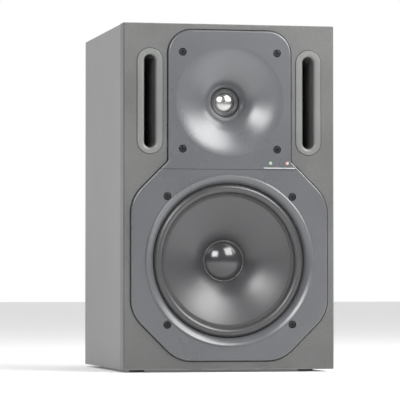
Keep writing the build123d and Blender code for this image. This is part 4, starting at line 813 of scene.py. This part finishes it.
def build_lapped_tape():
    """Tape wound round a ring about an axis along Y, each turn over the last."""
    tree, given, out = pattern_group("lapped_tape", 9.0)
    apart = tree.nodes.new("ShaderNodeSeparateXYZ")
    tree.links.new(given["Vector"], apart.inputs[0])
    angle = sum_node(tree, "ARCTAN2", apart.outputs[2], apart.outputs[0])
    lap = sum_node(tree, "FRACT", sum_node(tree, "MULTIPLY", angle, given["Grain"]), 0.0)
    cloud = noise_node(tree, given["Vector"], 50.0, 4.0)
    tree.links.new(blended(tree, lap, cloud, 0.6), out["Tone"])
    tree.links.new(cloud, out["Sheen"])
    tree.links.new(lap, out["Height"])
    return tree


winding_tape = surface(
    "winding_tape", (0.42, 0.29, 0.05), (0.56, 0.41, 0.09), (0.22, 0.34), build_lapped_tape(),
    grain=9.0, relief=0.0004, middle=centre_of("transformer"), Coat_Weight=0.2,
)
repaint(winding_tape, "transformer")
bolt_steel = surface(
    "bolt_steel", (0.5, 0.47, 0.36), (0.64, 0.6, 0.47), (0.26, 0.4), TURNED_METAL, grain=2500.0,
    relief=0.00002, middle=centre_of("transformer_bolt"), Metallic=1.0,
)
repaint(bolt_steel, "transformer_bolt")

# ------------------------------------------------------- mains inlet, switch
# Moulded inlet with its three pins and a drawer for the fuse, and a rocker
# switch. All clip or screw into the lower part of the plate.
socket_plastic = surface(
    "socket_plastic", (0.011, 0.011, 0.012), (0.022, 0.022, 0.023), (0.28, 0.4), grain=1800.0,
    relief=0.00003, dust=0.15,
)
repaint(socket_plastic, "power_inlet", "fuse_drawer", "power_switch_frame", "slide_switch_frames")
rocker_plastic = surface(
    "rocker_plastic", (0.013, 0.013, 0.014), (0.02, 0.02, 0.021), (0.16, 0.24), grain=1200.0,
    relief=0.00001, dust=0.05,
)
repaint(rocker_plastic, "power_switch_rocker")
pin_nickel = surface(
    "pin_nickel", (0.55, 0.53, 0.48), (0.68, 0.66, 0.6), (0.14, 0.26), DRAWN_LINES,
    grain=1.0, relief=0.00001, dust=0.02, Metallic=1.0,
)
repaint(pin_nickel, "inlet_pins", "jack_nut")
fuse_glass = surface(
    "fuse_glass", (0.72, 0.74, 0.74), (0.8, 0.82, 0.82), (0.04, 0.08), relief=0.0, dust=0.0,
    Transmission_Weight=0.6,
)
repaint(fuse_glass, "fuse")

# -------------------------------------------------------------- audio sockets
# A balanced three-contact socket with a spring latch tab, and a jack socket
# held by a plated hexagon nut.
repaint(socket_plastic, "xlr_socket", "jack_socket")
latch_steel = surface(
    "latch_steel", (0.4, 0.4, 0.39), (0.55, 0.55, 0.54), (0.2, 0.32), DRAWN_LINES,
    grain=1.0, relief=0.00001, dust=0.02, Metallic=1.0,
)
repaint(latch_steel, "xlr_latch")

# ---------------------------------------------------- trim and slide controls
# A potentiometer with a push-on knob, and three slide switches. The scales
# are printed on the plate in pale ink.
KNOB_TICKS, KNOB_SWEEP = 11, math.radians(150)
TICK_INNER, TICK_OUTER, TICK_WIDTH = 0.0095, 0.0120, 0.0006
SLIDER_STOPS, SLIDER_TICK_LOW, SLIDER_TICK_HIGH = 0.0022, 0.0062, 0.0084
FIGURE_RADIUS, FIGURE_SIZE = 0.0152, 0.0042

control_plastic = surface(
    "control_plastic", (0.016, 0.016, 0.017), (0.028, 0.028, 0.03), (0.3, 0.4), grain=1600.0,
    relief=0.00003, dust=0.1,
)
repaint(control_plastic, "trim_knob")
pot_metal = surface(
    "pot_metal", (0.46, 0.45, 0.42), (0.6, 0.59, 0.55), (0.24, 0.38), TURNED_METAL,
    grain=2200.0, relief=0.00002, middle=centre_of("trim_potentiometer"), Metallic=1.0,
)
repaint(pot_metal, "trim_potentiometer")
slider_plastic = surface(
    "slider_plastic", (0.50, 0.50, 0.48), (0.62, 0.62, 0.60), (0.35, 0.45), grain=1500.0,
    relief=0.00002, dust=0.1,
)
SLIDERS = ("low_frequency_slider", "room_slider", "high_frequency_slider")
repaint(slider_plastic, *SLIDERS)

knob = centre_of("trim_knob")
plate_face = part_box("amplifier_plate")[1].y
ticks = bmesh.new()
for index in range(KNOB_TICKS):
    turn = KNOB_SWEEP * (2 * index / (KNOB_TICKS - 1) - 1)
    tick = add_block(
        ticks, (-TICK_WIDTH / 2, plate_face - INK, TICK_INNER),
        (TICK_WIDTH / 2, plate_face + INK, TICK_OUTER),
    )
    bmesh.ops.rotate(ticks, verts=tick, cent=(0, 0, 0), matrix=Matrix.Rotation(turn, 3, "Y"))
    bmesh.ops.translate(ticks, verts=tick, vec=(knob.x, 0, knob.z))
for slider in SLIDERS:
    place = centre_of(slider)
    for stop in (-SLIDER_STOPS, 0, SLIDER_STOPS):
        add_block(
            ticks, (place.x + stop - TICK_WIDTH / 2, plate_face - INK, place.z + SLIDER_TICK_LOW),
            (place.x + stop + TICK_WIDTH / 2, plate_face + INK, place.z + SLIDER_TICK_HIGH),
        )
finished("scale_ticks", ticks, print_ink, "cabinet")

for name, figure, turn in (
    ("figure_minus", "-6", -KNOB_SWEEP), ("figure_zero", "0", 0.0), ("figure_plus", "+6", KNOB_SWEEP)
):
    letters = bpy.data.curves.new(name, "FONT")
    letters.body, letters.size, letters.extrude = figure, FIGURE_SIZE, INK
    letters.align_x, letters.align_y = "CENTER", "CENTER"
    source = bpy.data.objects.new(name + "_text", letters)
    bpy.context.scene.collection.objects.link(source)
    bpy.context.view_layer.update()
    ready = source.evaluated_get(bpy.context.evaluated_depsgraph_get())
    text_mesh = bpy.data.meshes.new_from_object(ready)
    bpy.data.objects.remove(source)
    shape = bmesh.new()
    shape.from_mesh(text_mesh)
    upright = Matrix.Rotation(math.pi, 4, "Z") @ Matrix.Rotation(math.pi / 2, 4, "X")
    out = Vector((-math.sin(turn), 0, math.cos(turn))) * FIGURE_RADIUS
    placed = Matrix.Translation(Vector((knob.x, plate_face, knob.z)) + out) @ upright
    bmesh.ops.transform(shape, matrix=placed, verts=shape.verts)
    finished(name, shape, print_ink, "cabinet")

# -------------------------------------------------------------------- studio
# A pale floor in a bright room that is dimmer behind the camera, two square
# softboxes above the lens, one each side, and a large one high on the right.
ROOM_DIM, FLOOR_HALF = 0.18, 14.0

floor = bmesh.new()
bmesh.ops.create_grid(floor, x_segments=1, y_segments=1, size=FLOOR_HALF)
floor_mesh = bpy.data.meshes.new("floor")
floor.to_mesh(floor_mesh)
floor.free()
floor_paint = bpy.data.materials.new("floor_paint")
floor_paint.use_nodes = True
floor_sockets = floor_paint.node_tree.nodes["Principled BSDF"].inputs
floor_sockets["Base Color"].default_value = (0.82, 0.82, 0.82, 1)
floor_sockets["Roughness"].default_value = 0.8
floor_sockets["Emission Color"].default_value = (1, 1, 1, 1)
floor_sockets["Emission Strength"].default_value = 0.12
floor_mesh.materials.append(floor_paint)
floor_piece = bpy.data.objects.new("floor", floor_mesh)
bpy.context.scene.collection.objects.link(floor_piece)


def softbox(name, azimuth, elevation, distance, size, power):
    """Square area light aimed at the baffle's middle."""
    away = away_from_baffle(math.radians(azimuth), math.radians(elevation))
    light = bpy.data.lights.new(name, "AREA")
    light.size, light.energy = size, power
    lamp = bpy.data.objects.new(name, light)
    lamp.location = baffle_middle + away * distance
    lamp.rotation_mode = "QUATERNION"
    lamp.rotation_quaternion = (-away).to_track_quat("-Z", "Y")
    bpy.context.scene.collection.objects.link(lamp)


softbox("left_softbox", -28, 26, 2.2, 0.80, 30)
softbox("right_softbox", 34, 33, 1.25, 0.62, 14)
softbox("high_right_softbox", 75, 42, 1.8, 1.1, 26)

world = bpy.data.worlds.new("room")
world.use_nodes = True
room = world.node_tree
toward = room.nodes.new("ShaderNodeSeparateXYZ")
room.links.new(room.nodes.new("ShaderNodeTexCoord").outputs["Generated"], toward.inputs[0])
fade = room.nodes.new("ShaderNodeMapRange")
fade.interpolation_type = "SMOOTHSTEP"
fade.inputs["From Min"].default_value, fade.inputs["From Max"].default_value = -0.5, 0.1
fade.inputs["To Min"].default_value, fade.inputs["To Max"].default_value = ROOM_DIM, 1.0
room.links.new(toward.outputs[1], fade.inputs["Value"])
seen = room.nodes.new("ShaderNodeLightPath").outputs["Is Camera Ray"]
room.links.new(
    sum_node(room, "MAXIMUM", fade.outputs[0], seen), room.nodes["Background"].inputs["Strength"]
)
room.nodes["Background"].inputs["Color"].default_value = (1, 1, 1, 1)
bpy.context.scene.world = world
bpy.context.scene.view_settings.view_transform = "Standard"
